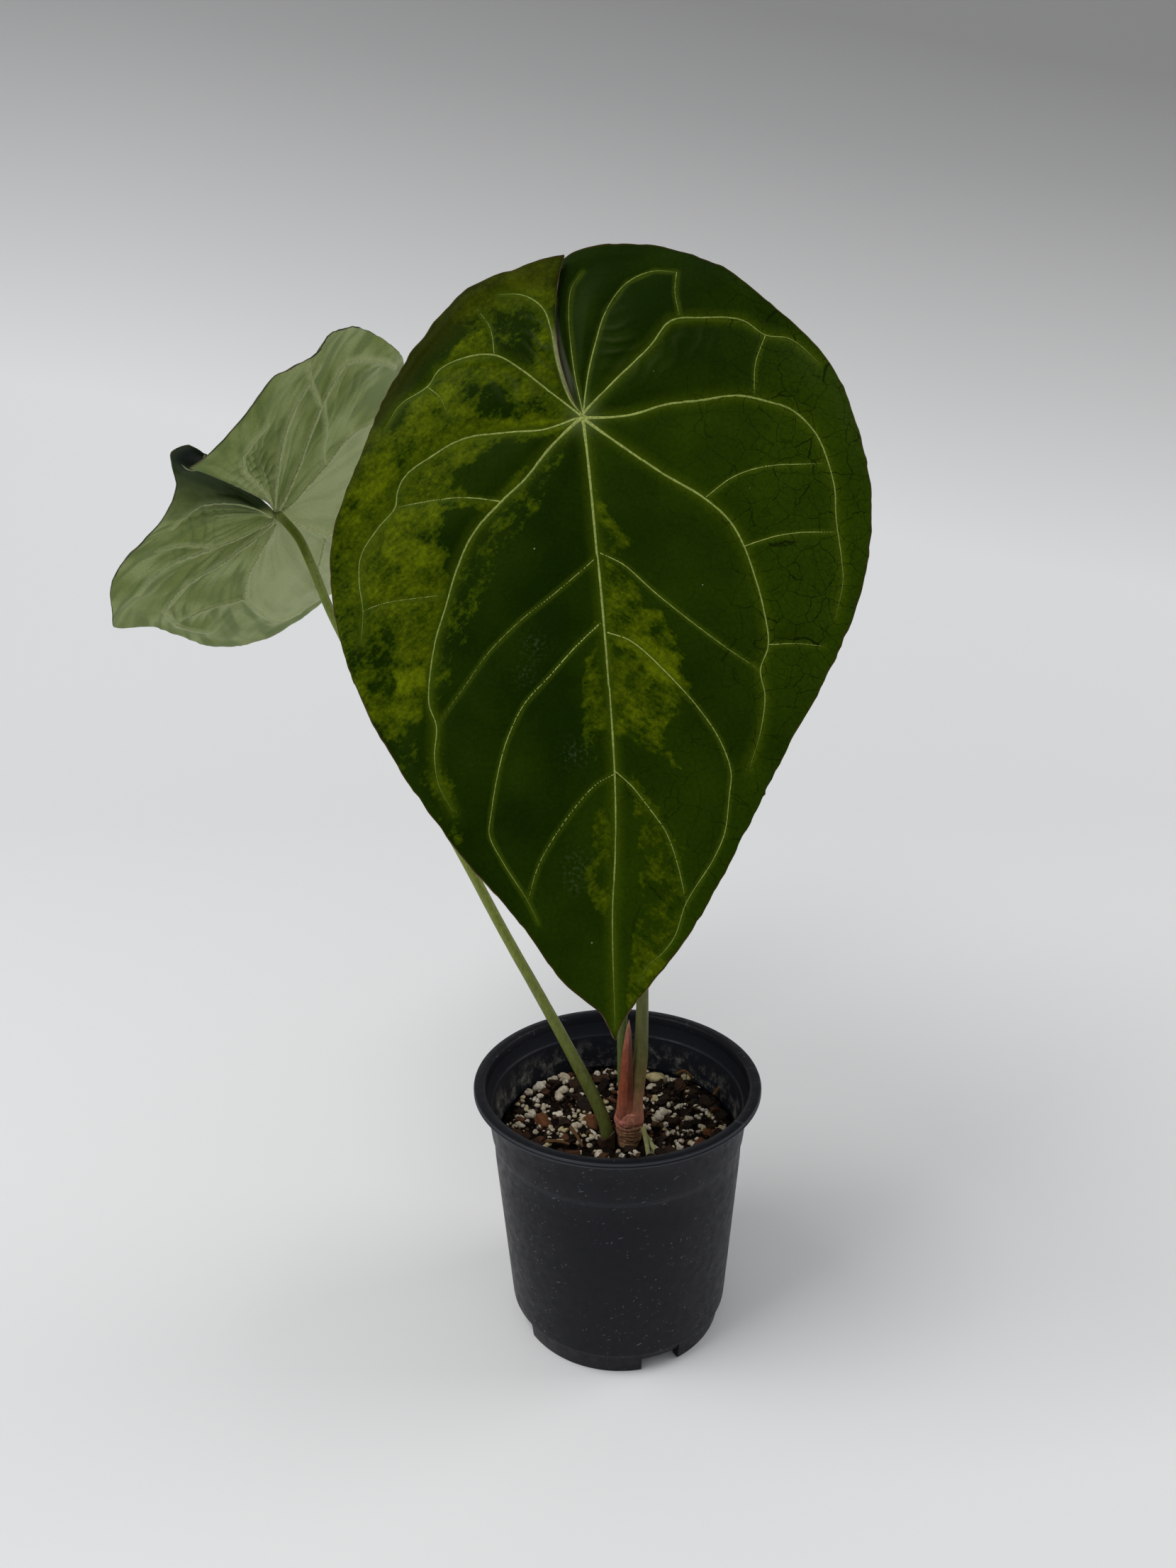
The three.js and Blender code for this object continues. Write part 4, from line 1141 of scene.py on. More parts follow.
def front_leaf():
    leaf = Leaf(LEAF_FRONT, arch_front, VEINS_FRONT, relief_front, seen_from_above=True)
    leaf.build("leaf_front_blade", leaf_upper_material(), front_values(leaf), "leaf_upper", "leaf_front")
    pale = vein_material("vein_pale", (0.34, 0.4, 0.1), (0.2, 0.26, 0.05))
    vein_tubes(leaf, "leaf_front_veins", leaf.upper, pale, "leaf_upper", rise=0.1)
    edge = ((0.028, 0.02, 0.005), (0.075, 0.04, 0.016), (0.17, 0.12, 0.065))
    margin_bead(leaf, "leaf_front_margin", margin_material(edge, (0.16, 0.09, 0.055)), "leaf_upper")


def back_values(leaf):
    """Where the back leaf has painted light on the panel by its midrib, painted shade on its puckers and by
    its cleft, and where it is turned over.
    """
    shade, tip = cleft_shade(leaf)
    return {
        "gap": leaf.gap,
        "flat": texture_place(leaf, leaf.x, leaf.y),
        "ray": np.stack([leaf.wedge * 13, leaf.s * 7, leaf.x * 0], -1),
        "panel": centre_panel(leaf),
        # painted shade along the puckers
        "fold": np.clip(1.1 * wrinkles(leaf.x, leaf.y, WRINKLES_BACK), 0, 0.6),
        "shade": shade,
        "tip": tip,
    }


def back_leaf():
    leaf = Leaf(LEAF_BACK, arch_back, VEINS_BACK, relief_back, seen_from_above=False)
    leaf.build("leaf_back_blade", leaf_under_material(), back_values(leaf), "leaf_under", "leaf_back")
    ridge = vein_material("vein_under", (0.4, 0.45, 0.2), (0.34, 0.39, 0.175))
    vein_tubes(leaf, "leaf_back_veins", leaf.behind(), ridge, "leaf_under", rise=0.25)
    edge = ((0.02, 0.026, 0.01), (0.045, 0.045, 0.02), (0.1, 0.085, 0.045))
    margin_bead(leaf, "leaf_back_margin", margin_material(edge, (0.28, 0.27, 0.17)), "leaf_under")


# Pot

POT_PROFILE = [
    (0, 0), (PAD_RADIUS - 0.3, 0), (PAD_RADIUS, 0.3), (PAD_RADIUS + 1.5, FLOOR_BOTTOM),
    (FOOT_RADIUS - FOOT_WIDTH, FLOOR_BOTTOM), (FOOT_RADIUS - FOOT_WIDTH + 0.4, 0.3),
    (FOOT_RADIUS - FOOT_WIDTH + 0.7, 0), (FOOT_RADIUS - 0.3, 0), (FOOT_RADIUS, 0.3),
    (FOOT_RADIUS + 0.95, FOOT_HEIGHT - 0.3), (FOOT_RADIUS + 1.2, FOOT_HEIGHT),
    (WALL_FOOT_RADIUS - 0.6, FOOT_HEIGHT + 0.3), (WALL_FOOT_RADIUS - 0.1, FOOT_HEIGHT + 0.9),
    (WALL_FOOT_RADIUS, FOOT_HEIGHT + 1.8), (47.2, 70.5), (WALL_STEP_RADIUS - 0.05, STEP_HEIGHT - 0.6),
    (WALL_STEP_RADIUS + 0.15, STEP_HEIGHT), (WALL_STEP_RADIUS + 0.5, STEP_HEIGHT + 0.4),
    (WALL_STEP_RADIUS + 0.65, STEP_HEIGHT + 1), (49.2, 88), (WALL_TOP_RADIUS - 0.1, 95.4),
    (WALL_TOP_RADIUS + 0.5, 96.7), (53.2, 98.1), (54.3, 98.4), (RIM_RADIUS, 98.7), (54.35, 99.05),
    (54.0, 99.2), (54.0, 99.35), (54.35, 99.5), (RIM_RADIUS, 99.8), (54.35, 100.2), (53.9, POT_HEIGHT),
    (LIP_INNER_RADIUS + 0.3, POT_HEIGHT - 0.05), (LIP_INNER_RADIUS - 0.2, 100.2), (50.0, 99.6),
    (49.2, 96), (48.35, 92.4), (48.1, 91.9), (47.6, 91.6), (47.45, 91.1), (46.1, SOIL_HEIGHT), (40.9, 10),
    (40.1, FLOOR_TOP), (0, FLOOR_TOP),
]


def pot_material():
    paint = Paint("pot_plastic", roughness=0.5, specular=0.16)
    x, y, z = paint.axes()
    radius = paint.calculate("SQRT", paint.calculate("ADD", paint.times(x, x), paint.times(y, y)))
    paint.base = paint.mix(paint.noise(0.05, 4), (0.0024, 0.0028, 0.005), (0.004, 0.0046, 0.008))
    # a thin film of dust, and pale specks
    dust = paint.noise(1.6, 8, roughness=0.8)
    paint.cover((0.011, 0.012, 0.017), paint.step(dust, 0.45, 0.75), 0.4)
    specks = paint.step(paint.cells(0.22), 0.075, 0.045)
    paint.cover((0.15, 0.15, 0.15), specks, paint.step(paint.noise(0.1, 4), 0.5, 0.56), 0.7)
    # short scratches in some places, that run mostly upright
    round_pot = paint.times(paint.calculate("ARCTAN2", x, y), WALL_FOOT_RADIUS)
    wrap = paint.node("CombineXYZ", {0: round_pot, 1: paint.calculate("DIVIDE", z, MM)}).outputs[0]
    rubbed = paint.step(paint.noise(0.05), 0.4, 0.52)
    for turn, length, pitch in ((0.3, 4, 0.5), (-0.7, 3, 0.6), (1.2, 5, 0.4), (-1.9, 3, 0.55)):
        inputs = {"Vector": wrap, "Scale": (1, length, 1), "Rotation": (0, 0, turn)}
        stretched = paint.node("Mapping", inputs, vector_type="TEXTURE").outputs[0]
        scratch = paint.step(paint.cells(pitch, stretched, voronoi_dimensions="2D"), 0.12, 0.04)
        some = paint.step(paint.noise(0.6 * pitch, 4, wrap), 0.52, 0.7)
        paint.cover((0.13, 0.135, 0.155), scratch, some, rubbed, 0.8)
    # the inside wall painted paler as painted light, with pale mineral marks just above the mix
    above_mix = paint.step(z, 0.0775, 0.0785)
    reach = paint.calculate("ADD", paint.times(paint.step(z, 0.0905, 0.0915), 0.0018), 0.0477)
    within = paint.step(paint.calculate("SUBTRACT", radius, reach), 0, -0.0002)
    paint.cover((0.013, 0.0145, 0.02), within, above_mix, 0.8)
    belt = paint.times(paint.step(z, 0.092, 0.083), above_mix, paint.step(radius, 0.0476, 0.0473))
    paint.cover((0.26, 0.25, 0.22), belt, paint.step(paint.noise(0.16, 8, roughness=0.75), 0.46, 0.66), 0.6)
    # the lip's edges, lighter as wear and as a painted highlight
    paint.cover((0.06, 0.063, 0.074), paint.step(radius, 0.0538, 0.0545), paint.step(z, 0.097, 0.099), 0.55)
    paint.feed("Roughness", paint.ramp(paint.noise(0.3), ((0.3, 0.36), (0.7, 0.52))))
    return paint.done(dust, depth_mm=0.06, strength=0.5)


def notch_columns():
    """Angles round the pot, with a pair on each side of every notch, and which of them are in a notch."""
    half = math.degrees(math.asin(NOTCH_WIDTH / 2 / FOOT_RADIUS))
    steps = [side * half + step for side in (-1, 1) for step in (-NOTCH_CORNER, NOTCH_CORNER)]
    edges = np.add.outer(NOTCH_ANGLES, steps).ravel() % 360
    angles = np.unique(np.concatenate([np.arange(POT_SEGMENTS) * 360 / POT_SEGMENTS, edges]))
    off = np.abs((angles[:, None] - NOTCH_ANGLES + 180) % 360 - 180).min(1)
    return np.radians(angles), off < half


def drilled(obj):
    """Cuts the four drain holes through the pot's floor."""
    cutters = []
    for centre in NOTCH_ANGLES:
        turn = math.radians(centre)
        at = Vector((math.cos(turn), math.sin(turn), 0)) * DRAIN_FROM_AXIS * MM
        place = Matrix.Translation(at + Vector((0, 0, (FLOOR_BOTTOM + FLOOR_TOP) / 2 * MM)))
        drill = bmesh.new()
        bmesh.ops.create_cone(drill, cap_ends=True, segments=DRILL_SIDES, radius1=DRAIN_RADIUS * MM,
                              radius2=DRAIN_RADIUS * MM, depth=DRILL_LENGTH * MM, matrix=place)
        mesh = bpy.data.meshes.new("drill")
        drill.to_mesh(mesh)
        drill.free()
        cutter = bpy.data.objects.new("drill", mesh)
        bpy.context.scene.collection.objects.link(cutter)
        hole = obj.modifiers.new("drain", "BOOLEAN")
        hole.operation = "DIFFERENCE"
        hole.object = cutter
        cutters.append(cutter)
    bpy.context.view_layer.update()
    mesh = bpy.data.meshes.new_from_object(obj.evaluated_get(bpy.context.evaluated_depsgraph_get()))
    obj.modifiers.clear()
    obj.data = mesh
    for cutter in cutters:
        bpy.data.objects.remove(cutter)


def turned(name, rings, material):
    """A body from rings of points round the axis, whose first and last ring may be one point."""
    rings = np.array(rings)
    faces = grid_faces(*rings.shape[:2], closed=True)
    obj = mesh_object(name, rings.reshape(-1, 3), faces, material)
    weld_poles(obj)
    return obj


def pot():
    angles, notched = notch_columns()
    rings = []
    for radius, height in POT_PROFILE:
        in_foot = PAD_RADIUS + 2 < radius < FOOT_RADIUS + 0.5
        z = np.where(notched & in_foot, max(height, FLOOR_BOTTOM), height)
        rings.append(np.stack([radius * np.cos(angles), radius * np.sin(angles), z], -1))
    obj = turned("pot_shell", rings, pot_material())
    drilled(obj)
    obj.data.shade_smooth()
    obj.data.set_sharp_from_angle(angle=math.radians(POT_SHARP_ANGLE))
    adopt(obj, "pot_plastic", "pot")


# Potting mix: the grains and chips that the picture shows, as (x, y, half length), and others between them

PERLITE_SEEN = [
    (-31, 28, 3.4), (-38, 26, 2.5), (-29, 37, 2.2), (-23, 36, 2.8), (-22, 22, 3.0), (-34, 8, 2.1),
    (-37, 14, 1.6), (-33, 18, 2.0), (-24, 9, 2.2), (-15, -1, 2.5), (-33, 32, 1.8), (-8, -17, 1.8),
    (1, -18, 1.7), (-4, -18, 1.1), (6, -17, 1.6), (-1, 37, 2.5), (-8, 38, 1.9), (-4, 42, 1.4),
    (16, 34, 3.7), (15, 27, 2.6), (13, 41, 1.8), (20, 13, 1.8), (17, 8, 2.8), (19, 2, 1.4), (24, 15, 1.7),
    (23, -11, 2.0), (31, -8, 1.6), (37, 10, 1.4), (33, 8, 1.0), (41, -2, 1.4), (42, 9, 1.1),
    (25, 34, 1.8), (33, 28, 1.0), (-40, 16, 1.0), (-29, 1, 1.2), (-26, -6, 0.9), (-37, 0, 1.2),
]
BARK_SEEN = [
    (-20, 39, 1.8), (-13, 40, 2.0), (-8, 18, 2.2), (-38, 3, 2.1), (-26, 32, 1.9), (33, 27, 3.2),
    (27, 9, 2.4), (35, 16, 3.5), (39, 5, 2.1), (-30, -12, 3.0), (-16, 34, 2.2), (-6, 29, 2.4),
    (-12, 10, 3.0), (8, 20, 2.6),
]
TWIGS_SEEN = [
    ((-18, -3, 80.5), (-15, -9, 80), (-13, -14, 79.4)), ((39, 20, 80), (41, 22, 82), (43, 24, 83.5)),
    ((-27, -11, 79.6), (-22, -12, 80.4), (-18, -13, 79.8)), ((25, 36, 80), (28, 35, 82), (31, 33, 80.5)),
]

# Each kind of grain: its colours, the colour it darkens to at its bottom, and how fine and how high its
# unevenness is
GRAINS = {
    "perlite": (((0.62, 0.565, 0.46), (0.5, 0.425, 0.32), (0.68, 0.625, 0.53), (0.5, 0.42, 0.22)),
                (0.06, 0.04, 0.024), 0.9, 0.3),
    "bark": (((0.008, 0.005, 0.004), (0.03, 0.016, 0.009), (0.018, 0.013, 0.01), (0.06, 0.027, 0.014),
              (0.16, 0.06, 0.024)), (0.005, 0.0035, 0.0025), 0.8, 0.8),
    "crumbs": (((0.008, 0.005, 0.004), (0.04, 0.021, 0.012), (0.085, 0.045, 0.024), (0.018, 0.014, 0.01)),
               (0.005, 0.004, 0.003), 1.2, 0.3),
    "fibres": (((0.02, 0.011, 0.006), (0.06, 0.03, 0.014), (0.035, 0.03, 0.012), (0.16, 0.075, 0.03)),
               (0.02, 0.012, 0.008), 1.5, 0.3),
}


def soil_height(x, y):
    broad = 0.7 * np.sin(x * 0.31 + 1) * np.cos(y * 0.27) + 0.5 * np.sin(x * 0.83 + y * 0.61)
    return SOIL_HEIGHT + broad - 0.3


def soil_material():
    paint = Paint("mix_fines", roughness=0.85, specular=0.05)
    stops = ((0.35, (0.002, 0.0015, 0.001)), (0.6, (0.009, 0.0055, 0.0035)), (0.78, (0.04, 0.021, 0.011)))
    paint.base = paint.ramp(paint.noise(0.5, 8), stops)
    return paint.done(paint.noise(1.1, 8), depth_mm=0.6)


def make_grains(shape, kind):
    """Each grain takes its colour from its own hue value, and is darker lower down."""
    colors, bottom_color, scale, rough = GRAINS[kind]
    paint = Paint(kind, roughness=0.8, specular=0.12)
    paint.base = paint.ramp(paint.value("hue"), tuple(zip(np.linspace(0, 1, len(colors)), colors)))
    spread = paint.noise(scale, 6, roughness=0.65)
    paint.shade(paint.ramp(spread, ((0.3, (0.5, 0.47, 0.42)), (0.6, 1))))
    paint.cover(bottom_color, paint.step(paint.value("depth"), 0.3, 0.75), 0.85)
    shape.make("mix_" + kind, paint.done(spread, depth_mm=rough, strength=0.9), "potting_mix")


def free_places(rng, count, reach):
    """Random places on the mix that the stem, stalk and roots leave free."""
    places = []
    while len(places) < count:
        x, y = rng.uniform(-reach, reach, 2)
        beside_stem = math.hypot(x - STEM_X, y - STEM_Y) > STEM_CLEAR
        beside_stalk = math.hypot(x - SHEATH_AT[0], y - SHEATH_AT[1]) > STALK_CLEAR
        if beside_stem and beside_stalk and math.hypot(x, y) < reach:
            places.append((x, y))
    return places


def perlite(rng):
    fine, coarse = icosphere(3), icosphere(2)
    shape = Shape()
    sites = [(x, y, size, fine) for x, y, size in PERLITE_SEEN]
    others = free_places(rng, count=440, reach=43.3)
    sites += [(x, y, 0.5 + 1.45 * rng.random() ** 1.3, coarse) for x, y in others]
    for x, y, size, ball in sites:
        parts = 1 if size > 3.5 or size < 1.5 else 3 if size > 2.2 else 2
        hue = 1.0 if size > 3.5 else rng.random()
        for k in range(parts):
            part = size * (0.8 if parts > 1 else 1) * rng.uniform(0.75, 1)
            turn = rng.uniform(0, 6.28)
            off = size * 0.55 if parts > 1 else 0
            at = np.array([x + off * math.cos(turn), y + off * math.sin(turn), 0])
            at *= min(1, 44.4 / (math.hypot(at[0], at[1]) + part))
            at[2] = soil_height(at[0], at[1]) + part * (0.35 + 0.25 * k)
            half = part * rng.uniform((0.95, 0.65, 0.6), (1.25, 0.95, 0.9))
            add_lump(shape, ball if part > 0.9 else coarse, at, half, rng, rough=0.1, hue=hue)
    for x, y in rng.normal((28, 35), (3, 1.5), (9, 2)):
        at = (x, y, soil_height(x, y) + 1.5 * rng.random())
        add_lump(shape, coarse, at, rng.uniform(0.7, 1.3, 3), rng, rough=0.1, hue=0.97)
    make_grains(shape, "perlite")


def bark(rng):
    ball = icosphere(3)
    shape = Shape()
    sites = [(x, y, size * 1.2) for x, y, size in BARK_SEEN]
    sites += [(x, y, 1.2 + 2.6 * rng.random()) for x, y in free_places(rng, count=125, reach=42)]
    for x, y, size in sites:
        half = np.array([size, size * rng.uniform(0.45, 0.75), size * rng.uniform(0.2, 0.38)])
        at = np.array([x, y, soil_height(x, y) + 0.5 * half[2] + rng.uniform(0, 0.8)])
        at[:2] *= min(1, 43.4 / (math.hypot(x, y) + size * 0.8))
        add_lump(shape, ball, at, half, rng, 0.12, power=0.5, tilt=0.6, hue=rng.random() ** 1.2)
    make_grains(shape, "bark")


def crumbs(rng):
    ball = icosphere(2)
    shape = Shape()
    for x, y in free_places(rng, count=760, reach=44):
        size = 0.35 + 0.8 * rng.random() ** 2
        at = (x, y, soil_height(x, y) + 0.3 * size)
        half = size * rng.uniform(0.6, 1.2, 3)
        add_lump(shape, ball, at, half, rng, rough=0.12, power=0.8, hue=rng.random())
    make_grains(shape, "crumbs")


def fibres(rng):
    shape = Shape()
    for route in TWIGS_SEEN:
        uneven = 1 + 0.12 * rng.random((14, 8))
        rings = tube(spline(route, 14), np.linspace(0.75, 0.5, 14), 8, relief=uneven)
        shape.add_rings(rings, hue=0.9, depth=0.0)
    for x, y in free_places(rng, count=70, reach=40):
        turn, length = rng.uniform(0, 6.28), rng.uniform(3, 9)
        bend = rng.normal(0, 0.25 * length, 2)
        route = []
        for t in (0, 0.35, 0.7, 1):
            u = x + length * t * math.cos(turn) + bend[0] * t * t
            v = y + length * t * math.sin(turn) + bend[1] * t * t
            back = min(1, 43.5 / math.hypot(u, v))
            route.append((u * back, v * back))
        rise = rng.uniform(0.3, 1.8)
        lifts = (0.3 + rise * lift for lift in (0, 1, 0.8, 0.1))
        route = [(u, v, soil_height(u, v) + lift) for (u, v), lift in zip(route, lifts)]
        radius = rng.uniform(0.12, 0.3) * np.array([0.7, 1, 1, 1, 0.9, 0.8, 0.7, 0.6, 0.5, 0.3])
        shape.add_rings(tube(spline(route, 10), radius, 6), hue=rng.random(), depth=0.0)
    make_grains(shape, "fibres")


def soil():
    angles = around(SOIL_SEGMENTS)
    circle = np.stack([np.cos(angles), np.sin(angles)], -1)
    rings = []
    for radius, height in SOIL_SIDE:
        rings.append(np.column_stack([radius * circle, np.full(SOIL_SEGMENTS, float(height))]))
    for radius in np.linspace(SOIL_TOP_RADIUS, 0, 60):
        x, y = (radius * circle).T
        z = soil_height(x, y) + 0.7 * cloud(x / 2.6, y / 2.6, octaves=3, seed=12)
        z -= 0.6 * smooth(radius, 42, SOIL_TOP_RADIUS)
        rings.append(np.column_stack([x, y, z]))
    adopt(turned("mix_body", rings, soil_material()), "potting_mix", "soil")
    rng = np.random.default_rng(GRAIN_SEED)
    perlite(rng)
    bark(rng)
    crumbs(rng)
    fibres(rng)


# Stem, stalks, sheaths and roots

def seat(form):
    """The two last points of a stalk, which meets its blade's underside square."""
    down = -Blade(form, arch_front).rotation[:, 2]
    return [tuple(np.array(form["joint"]) + down * depth) for depth in (STALK_BEND, STALK_SEAT)]


BACK_STALK = [
    (-3.5, -9.2, 73), (-3.6, -9.2, 80), (-5.6, -8.4, 89), (-18.7, -3, 116), (-43.2, 8, 160),
    (-56.1, 14, 184.2), (-81.6, 29, 227.4), (-106, 44, 271.1), (-113.6, 50, 288.5), (-120.5, 60, 298.3),
    *seat(LEAF_BACK),
]
BACK_RADII = (2.5, 2.45, 2.15, 2, 1.95, 1.9, 1.85, 1.8, 1.75, 1.7, 1.7, 1.75)
FRONT_STALK = [
    (5.5, -8.2, STEM_TOP - 6), (6.4, -7.9, 95), (7.4, -7, 101.6), (8.7, -6, 112), (9.6, -3, 138),
    (8.6, 4, 190), (2, 10, 250), (-5, 13, 300), (-8.2, 9.6, 325), *seat(LEAF_FRONT),
]
FRONT_RADII = (3.4, 2.8, 2.3, 2.15, 2.1, 2.05, 2, 1.95, 1.9, 1.85, 1.8, 1.9, 1.9)
NEW_LEAF = [
    (2.9, -5.4, STEM_TOP - 4), (2.4, -4.8, 95), (2, -3, 104), (2.1, -1.6, 120), (2.4, 0, 150),
    (1.6, 1.4, 190), (-0.6, 1, 225), (-3.4, -0.6, 254),
]
NEW_LEAF_RADII = (1.6, 1.9, 1.9, 1.9, 1.9, 1.9, 1.9, 2, 3.2, 4, 4.1, 3.8, 2.8, 1.3, 0.3)
CATAPHYLL = [
    (3.2, -9.6, STEM_TOP - 6), (2.9, -10.5, 94), (3.3, -9.9, 102), (3.7, -9, 112), (4.6, -7, 128.8),
]
CATAPHYLL_RADII = (2.3, 2.05, 1.9, 1.75, 1.6, 1.45, 1.25, 1, 0.65, 0.05)
LONG_ROOT = [(9.6, -11.9, 86.6), (10.7, -15, 82.6), (11.5, -19, 78), (11.8, -20.5, 73)]
SHORT_ROOT = [(10.3, -10, 82.4), (12.2, -14.2, 81.4), (14.2, -17, 79.2), (15.2, -18.4, 75)]

# The stem's creases: height, depth and lean
STEM_CREASES = [
    (79.8, 0.3, 0.3), (81.3, 0.35, 0.6), (82.7, 0.45, 0.9), (84.2, 0.35, 0.6), (85.6, 0.5, 1.2),
    (88, 0.45, 1.3),
]

# Colours from the foot of each stalk to its top
BACK_STALK_TONES = [
    (0.0, (0.05, 0.04, 0.012)), (0.04, (0.11, 0.125, 0.025)), (0.4, (0.175, 0.21, 0.032)),
    (0.85, (0.14, 0.18, 0.025)), (0.97, (0.1, 0.14, 0.012)), (1.0, (0.16, 0.2, 0.05)),
]
FRONT_STALK_TONES = [
    (0.0, (0.42, 0.15, 0.1)), (0.028, (0.35, 0.15, 0.085)), (0.06, (0.19, 0.13, 0.045)),
    (0.11, (0.1, 0.1, 0.025)), (0.3, (0.09, 0.105, 0.02)), (1.0, (0.1, 0.125, 0.025)),
]
NEW_LEAF_TONES = [
    (0.0, (0.2, 0.13, 0.05)), (0.08, (0.11, 0.14, 0.035)), (0.55, (0.1, 0.135, 0.028)),
    (0.8, (0.1, 0.1, 0.02)), (1.0, (0.13, 0.08, 0.03)),
]
CATAPHYLL_TONES = [
    (0.0, (0.44, 0.155, 0.11)), (0.14, (0.38, 0.12, 0.07)), (0.35, (0.29, 0.07, 0.03)),
    (0.7, (0.27, 0.065, 0.03)), (0.9, (0.33, 0.12, 0.075)), (1.0, (0.26, 0.15, 0.08)),
]
ROOT_TONES = [(0.0, (0.2, 0.2, 0.07)), (0.5, (0.24, 0.25, 0.1)), (1.0, (0.16, 0.16, 0.07))]


def skin_material(name, stops, streak=0.25, roughness=0.45, pitch=0.5, pits=0.1):
    """Plant skin with its colours along the length, and fine streaks that run with it."""
    paint = Paint(name, roughness=roughness, specular=0.3)
    paint.base = paint.ramp(paint.value("along"), stops)
    stretched = paint.node("Mapping", {"Vector": paint.place(), "Scale": (1, 1, 0.08)}).outputs["Vector"]
    both = paint.calculate("ADD", paint.noise(1.4 / MM, 4, stretched), paint.noise(pitch, 6, roughness=0.6))
    paint.shade(paint.ramp(paint.times(both, 0.5), ((0.36, 1 - streak), (0.64, 1 + streak))))
    paint.cover((0.045, 0.018, 0.01), paint.value("dark"))
    return paint.done(both, depth_mm=pits, strength=0.6)


def stalk(name, route, radii, material, slot, node, step=1.2, sides=24, wide=1.0, relief=None, shade=None,
          flare=0):
    """A tube along a route. relief and shade give its unevenness and darkness along and round it."""
    length = run_length(route)
    count = int(length / step)
    along = np.linspace(0, 1, count)[:, None]
    angle = around(sides)[None, :]
    radius = np.interp(along[:, 0], np.linspace(0, 1, len(radii)), radii)
    radius += flare * bell(along[:, 0] * length, 6)
    uneven = 1 + 0.02 * cloud(along * length / 7, np.cos(angle) * 1.3 + 5, 3, len(name))
    if relief:
        uneven = uneven + relief(along, angle)
    dark = shade(along, angle) if shade else np.zeros((count, sides))
    rings = tube(spline(route, count), radius, sides, wide=wide, relief=uneven)
    shape = Shape()
    shape.add_rings(rings, along=along, dark=dark)
    shape.make(name, material, slot, node)


def rolled(along, angle):
    """The edge of a rolled young leaf, which winds slowly round it."""
    edge = (angle - 1.2 - 2.2 * along + np.pi) % (2 * np.pi) - np.pi
    return smooth(along, 0.45, 0.6) * (0.1 * smooth(edge, -0.12, 0.05) - 0.1 * smooth(edge, 0.05, 3))


def from_front(angle):
    """The angle round a stalk, from its front."""
    return (angle + 3 * np.pi / 2) % (2 * np.pi) - np.pi


def keeled(along, angle):
    """A fold along the front of the papery sheath."""
    front = from_front(angle)
    return 0.18 * bell(front + 0.5, 0.35) - 0.15 * bell(front - 0.35, 0.3)


def fold_shade(along, angle):
    """The darker strip inside that fold."""
    within = smooth(along, 0.1, 0.35) * smooth(along, 1, 0.8)
    return 0.75 * smooth(from_front(angle), 0, 0.45) * smooth(from_front(angle), 2.2, 1.6) * within


def stem():
    """A short ringed stem, swollen at its upper left, with creases that run a little uneven."""
    rows, sides = 110, 80
    z = np.concatenate([[STEM_FOOT], np.linspace(STEM_SEEN_FROM, STEM_TOP, rows - 1)])[:, None]
    angle = around(sides)[None, :]
    radius = 4.5 + 0.6 * smooth(z, 79, 85) - 0.5 * smooth(z, 88, STEM_TOP) + 0 * angle
    dark = 0 * radius
    for height, depth, lean in STEM_CREASES:
        place = height + lean * np.cos(angle - 1.9) + 0.6 * noise(angle * 1.6 + height, angle * 0, 2)
        line = 0.65 + 0.5 * noise(angle * 2.2 + 2 * height, angle * 0, 6)
        line = line * bell(z - place, 0.3)
        radius -= depth * line
        dark = np.maximum(dark, 0.75 * np.clip(line, 0, 1))
    radius += 0.3 * cloud(angle * 1.9 + 9, z / 2.6 + 0 * angle, 3, 5) * smooth(z, 78, 80)
    swell = bell(z - 88.4, 2.8) * bell(angle - math.radians(215), 0.7)
    radius += 0.9 * swell
    radius *= 1 - 0.45 * smooth(z, STEM_TOP - 2, STEM_TOP) ** 2
    rings = np.stack([STEM_X + radius * np.cos(angle), STEM_Y + radius * np.sin(angle), z + 0 * angle], -1)
    pink = np.clip(0.9 * swell + 0.75 * smooth(z, 83, 92), 0, 1)
    shape = Shape()
    shape.add_rings(rings, along=pink, dark=dark)
    stops = ((0.0, (0.31, 0.165, 0.085)), (0.35, (0.38, 0.17, 0.1)), (1.0, (0.44, 0.155, 0.11)))
    shape.make("stem_body", skin_material("stem_skin", stops, 0.4, 0.5, 0.9, 0.3), "stem_skin", "stem")


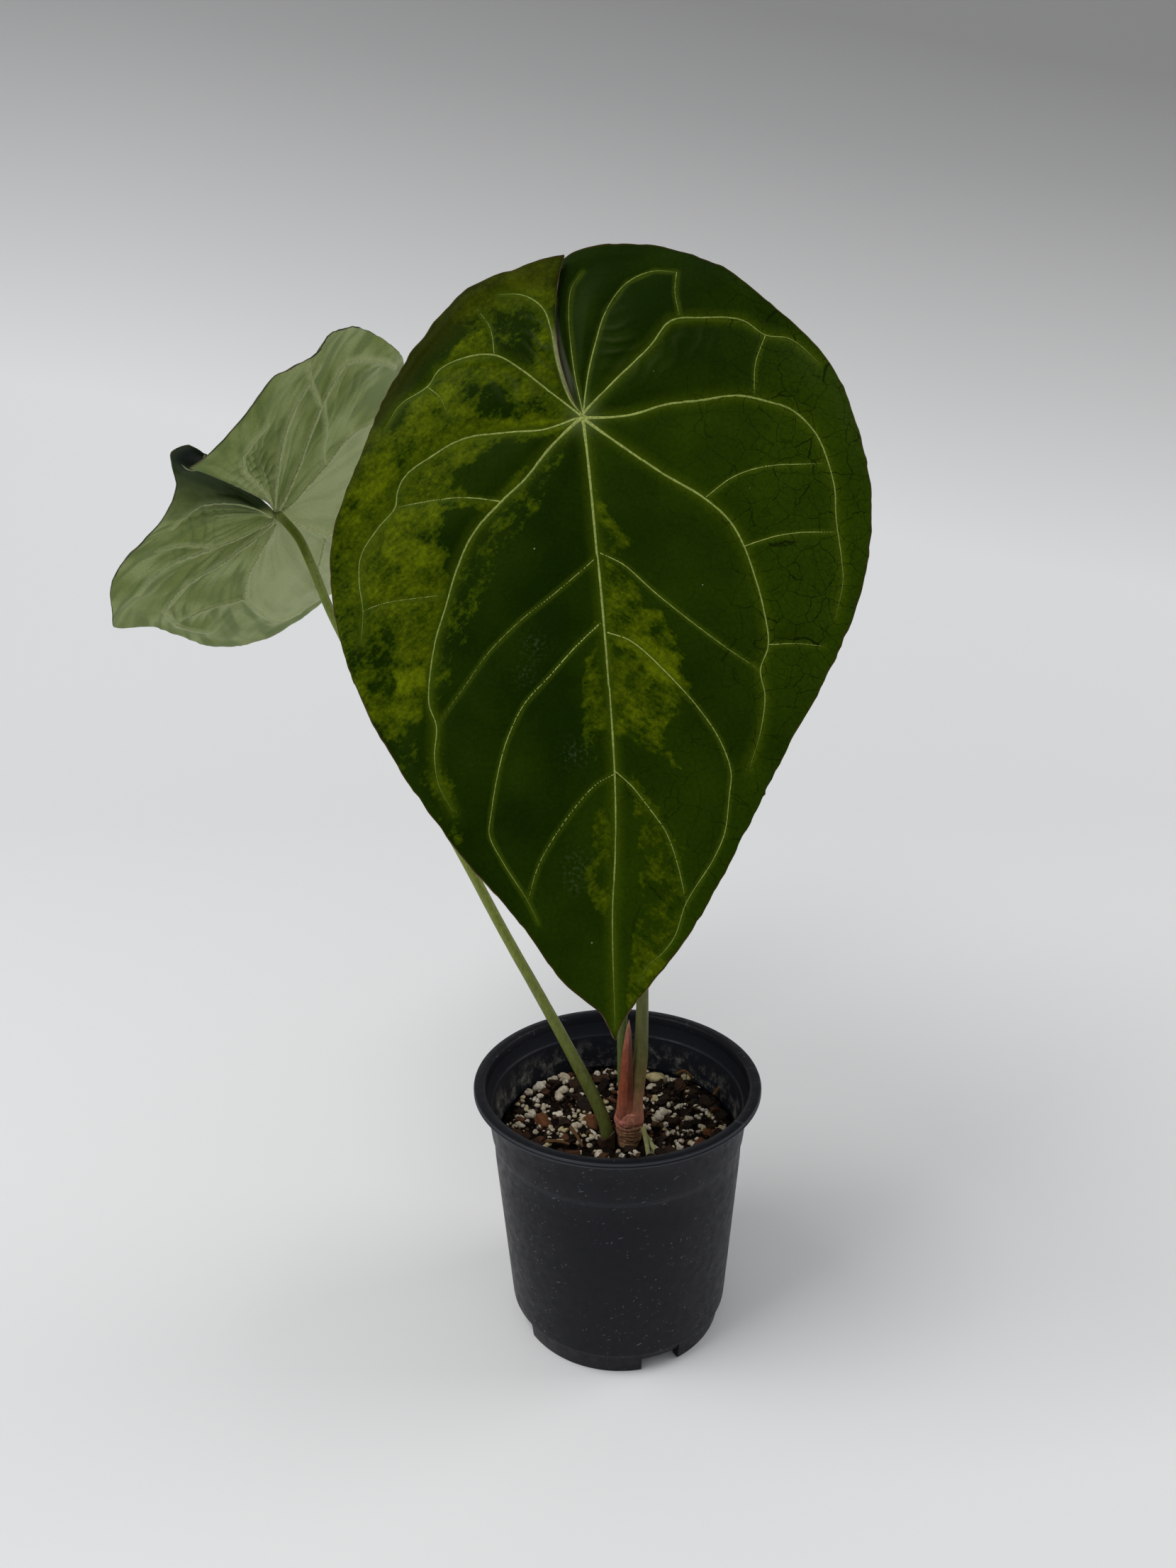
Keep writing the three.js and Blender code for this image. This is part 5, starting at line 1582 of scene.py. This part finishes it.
def old_sheath():
    """A torn dry sheath round the front of the back stalk's foot."""
    columns, rows = 40, 14
    angle = np.radians(np.linspace(*SHEATH_SPAN, columns))
    top = SHEATH_TOP + 3 * smooth(angle, 4.1, angle[-1]) + 0.4 * noise(angle * 2.6, angle * 0, 3)
    rings = []
    for a, height in zip(angle, top):
        z = np.linspace(SHEATH_FOOT, height, rows)
        flare = 0.25 * smooth(z, 80, 82.5)
        outer = SHEATH_OUTER + 0.15 * noise(z / 1.5, z * 0 + a * 6, 8) + flare
        radius = np.concatenate([outer, (SHEATH_INNER + flare)[::-1]])
        x, y = SHEATH_AT[0] + radius * math.cos(a), SHEATH_AT[1] + radius * math.sin(a)
        rings.append(np.stack([x, y, np.concatenate([z, z[::-1]])], -1))
    shape = Shape()
    shape.add_rings(np.array(rings)[::-1], along=np.linspace(1, 0, columns))
    stops = ((0.0, (0.05, 0.02, 0.01)), (0.5, (0.032, 0.013, 0.007)), (1.0, (0.04, 0.024, 0.01)))
    material = skin_material("old_sheath_skin", stops, 0.45, 0.6)
    shape.make("old_sheath_shell", material, "old_sheath_skin", "old_sheath")


def plant_base():
    stem()
    old_sheath()
    green = skin_material("back_stalk_skin", BACK_STALK_TONES)
    stalk("back_stalk", BACK_STALK, BACK_RADII, green, "stalk_skin", "petiole_back")
    olive = skin_material("front_stalk_skin", FRONT_STALK_TONES)
    stalk("front_stalk", FRONT_STALK, FRONT_RADII, olive, "stalk_skin", "petiole_front", flare=1.1)
    young = skin_material("young_leaf_skin", NEW_LEAF_TONES)
    stalk("young_leaf", NEW_LEAF, NEW_LEAF_RADII, young, "stalk_skin", "new_leaf", sides=48, relief=rolled)
    rust = skin_material("cataphyll_skin", CATAPHYLL_TONES, 0.35, 0.5)
    stalk("papery_sheath", CATAPHYLL, CATAPHYLL_RADII, rust, "cataphyll_skin", "cataphyll",
          step=0.5, sides=40, wide=1.6, relief=keeled, shade=fold_shade)
    pale = skin_material("root_skin", ROOT_TONES, 0.2, 0.5)
    stalk("long_root", LONG_ROOT, (1, 0.9, 0.8, 0.7), pale, "root_skin", "aerial_root_long", step=0.5)
    stalk("short_root", SHORT_ROOT, (0.9, 1, 0.9, 0.6), pale, "root_skin", "aerial_root_short", step=0.5)


add_camera()
add_studio()
add_backdrop()
front_leaf()
back_leaf()
pot()
soil()
plant_base()
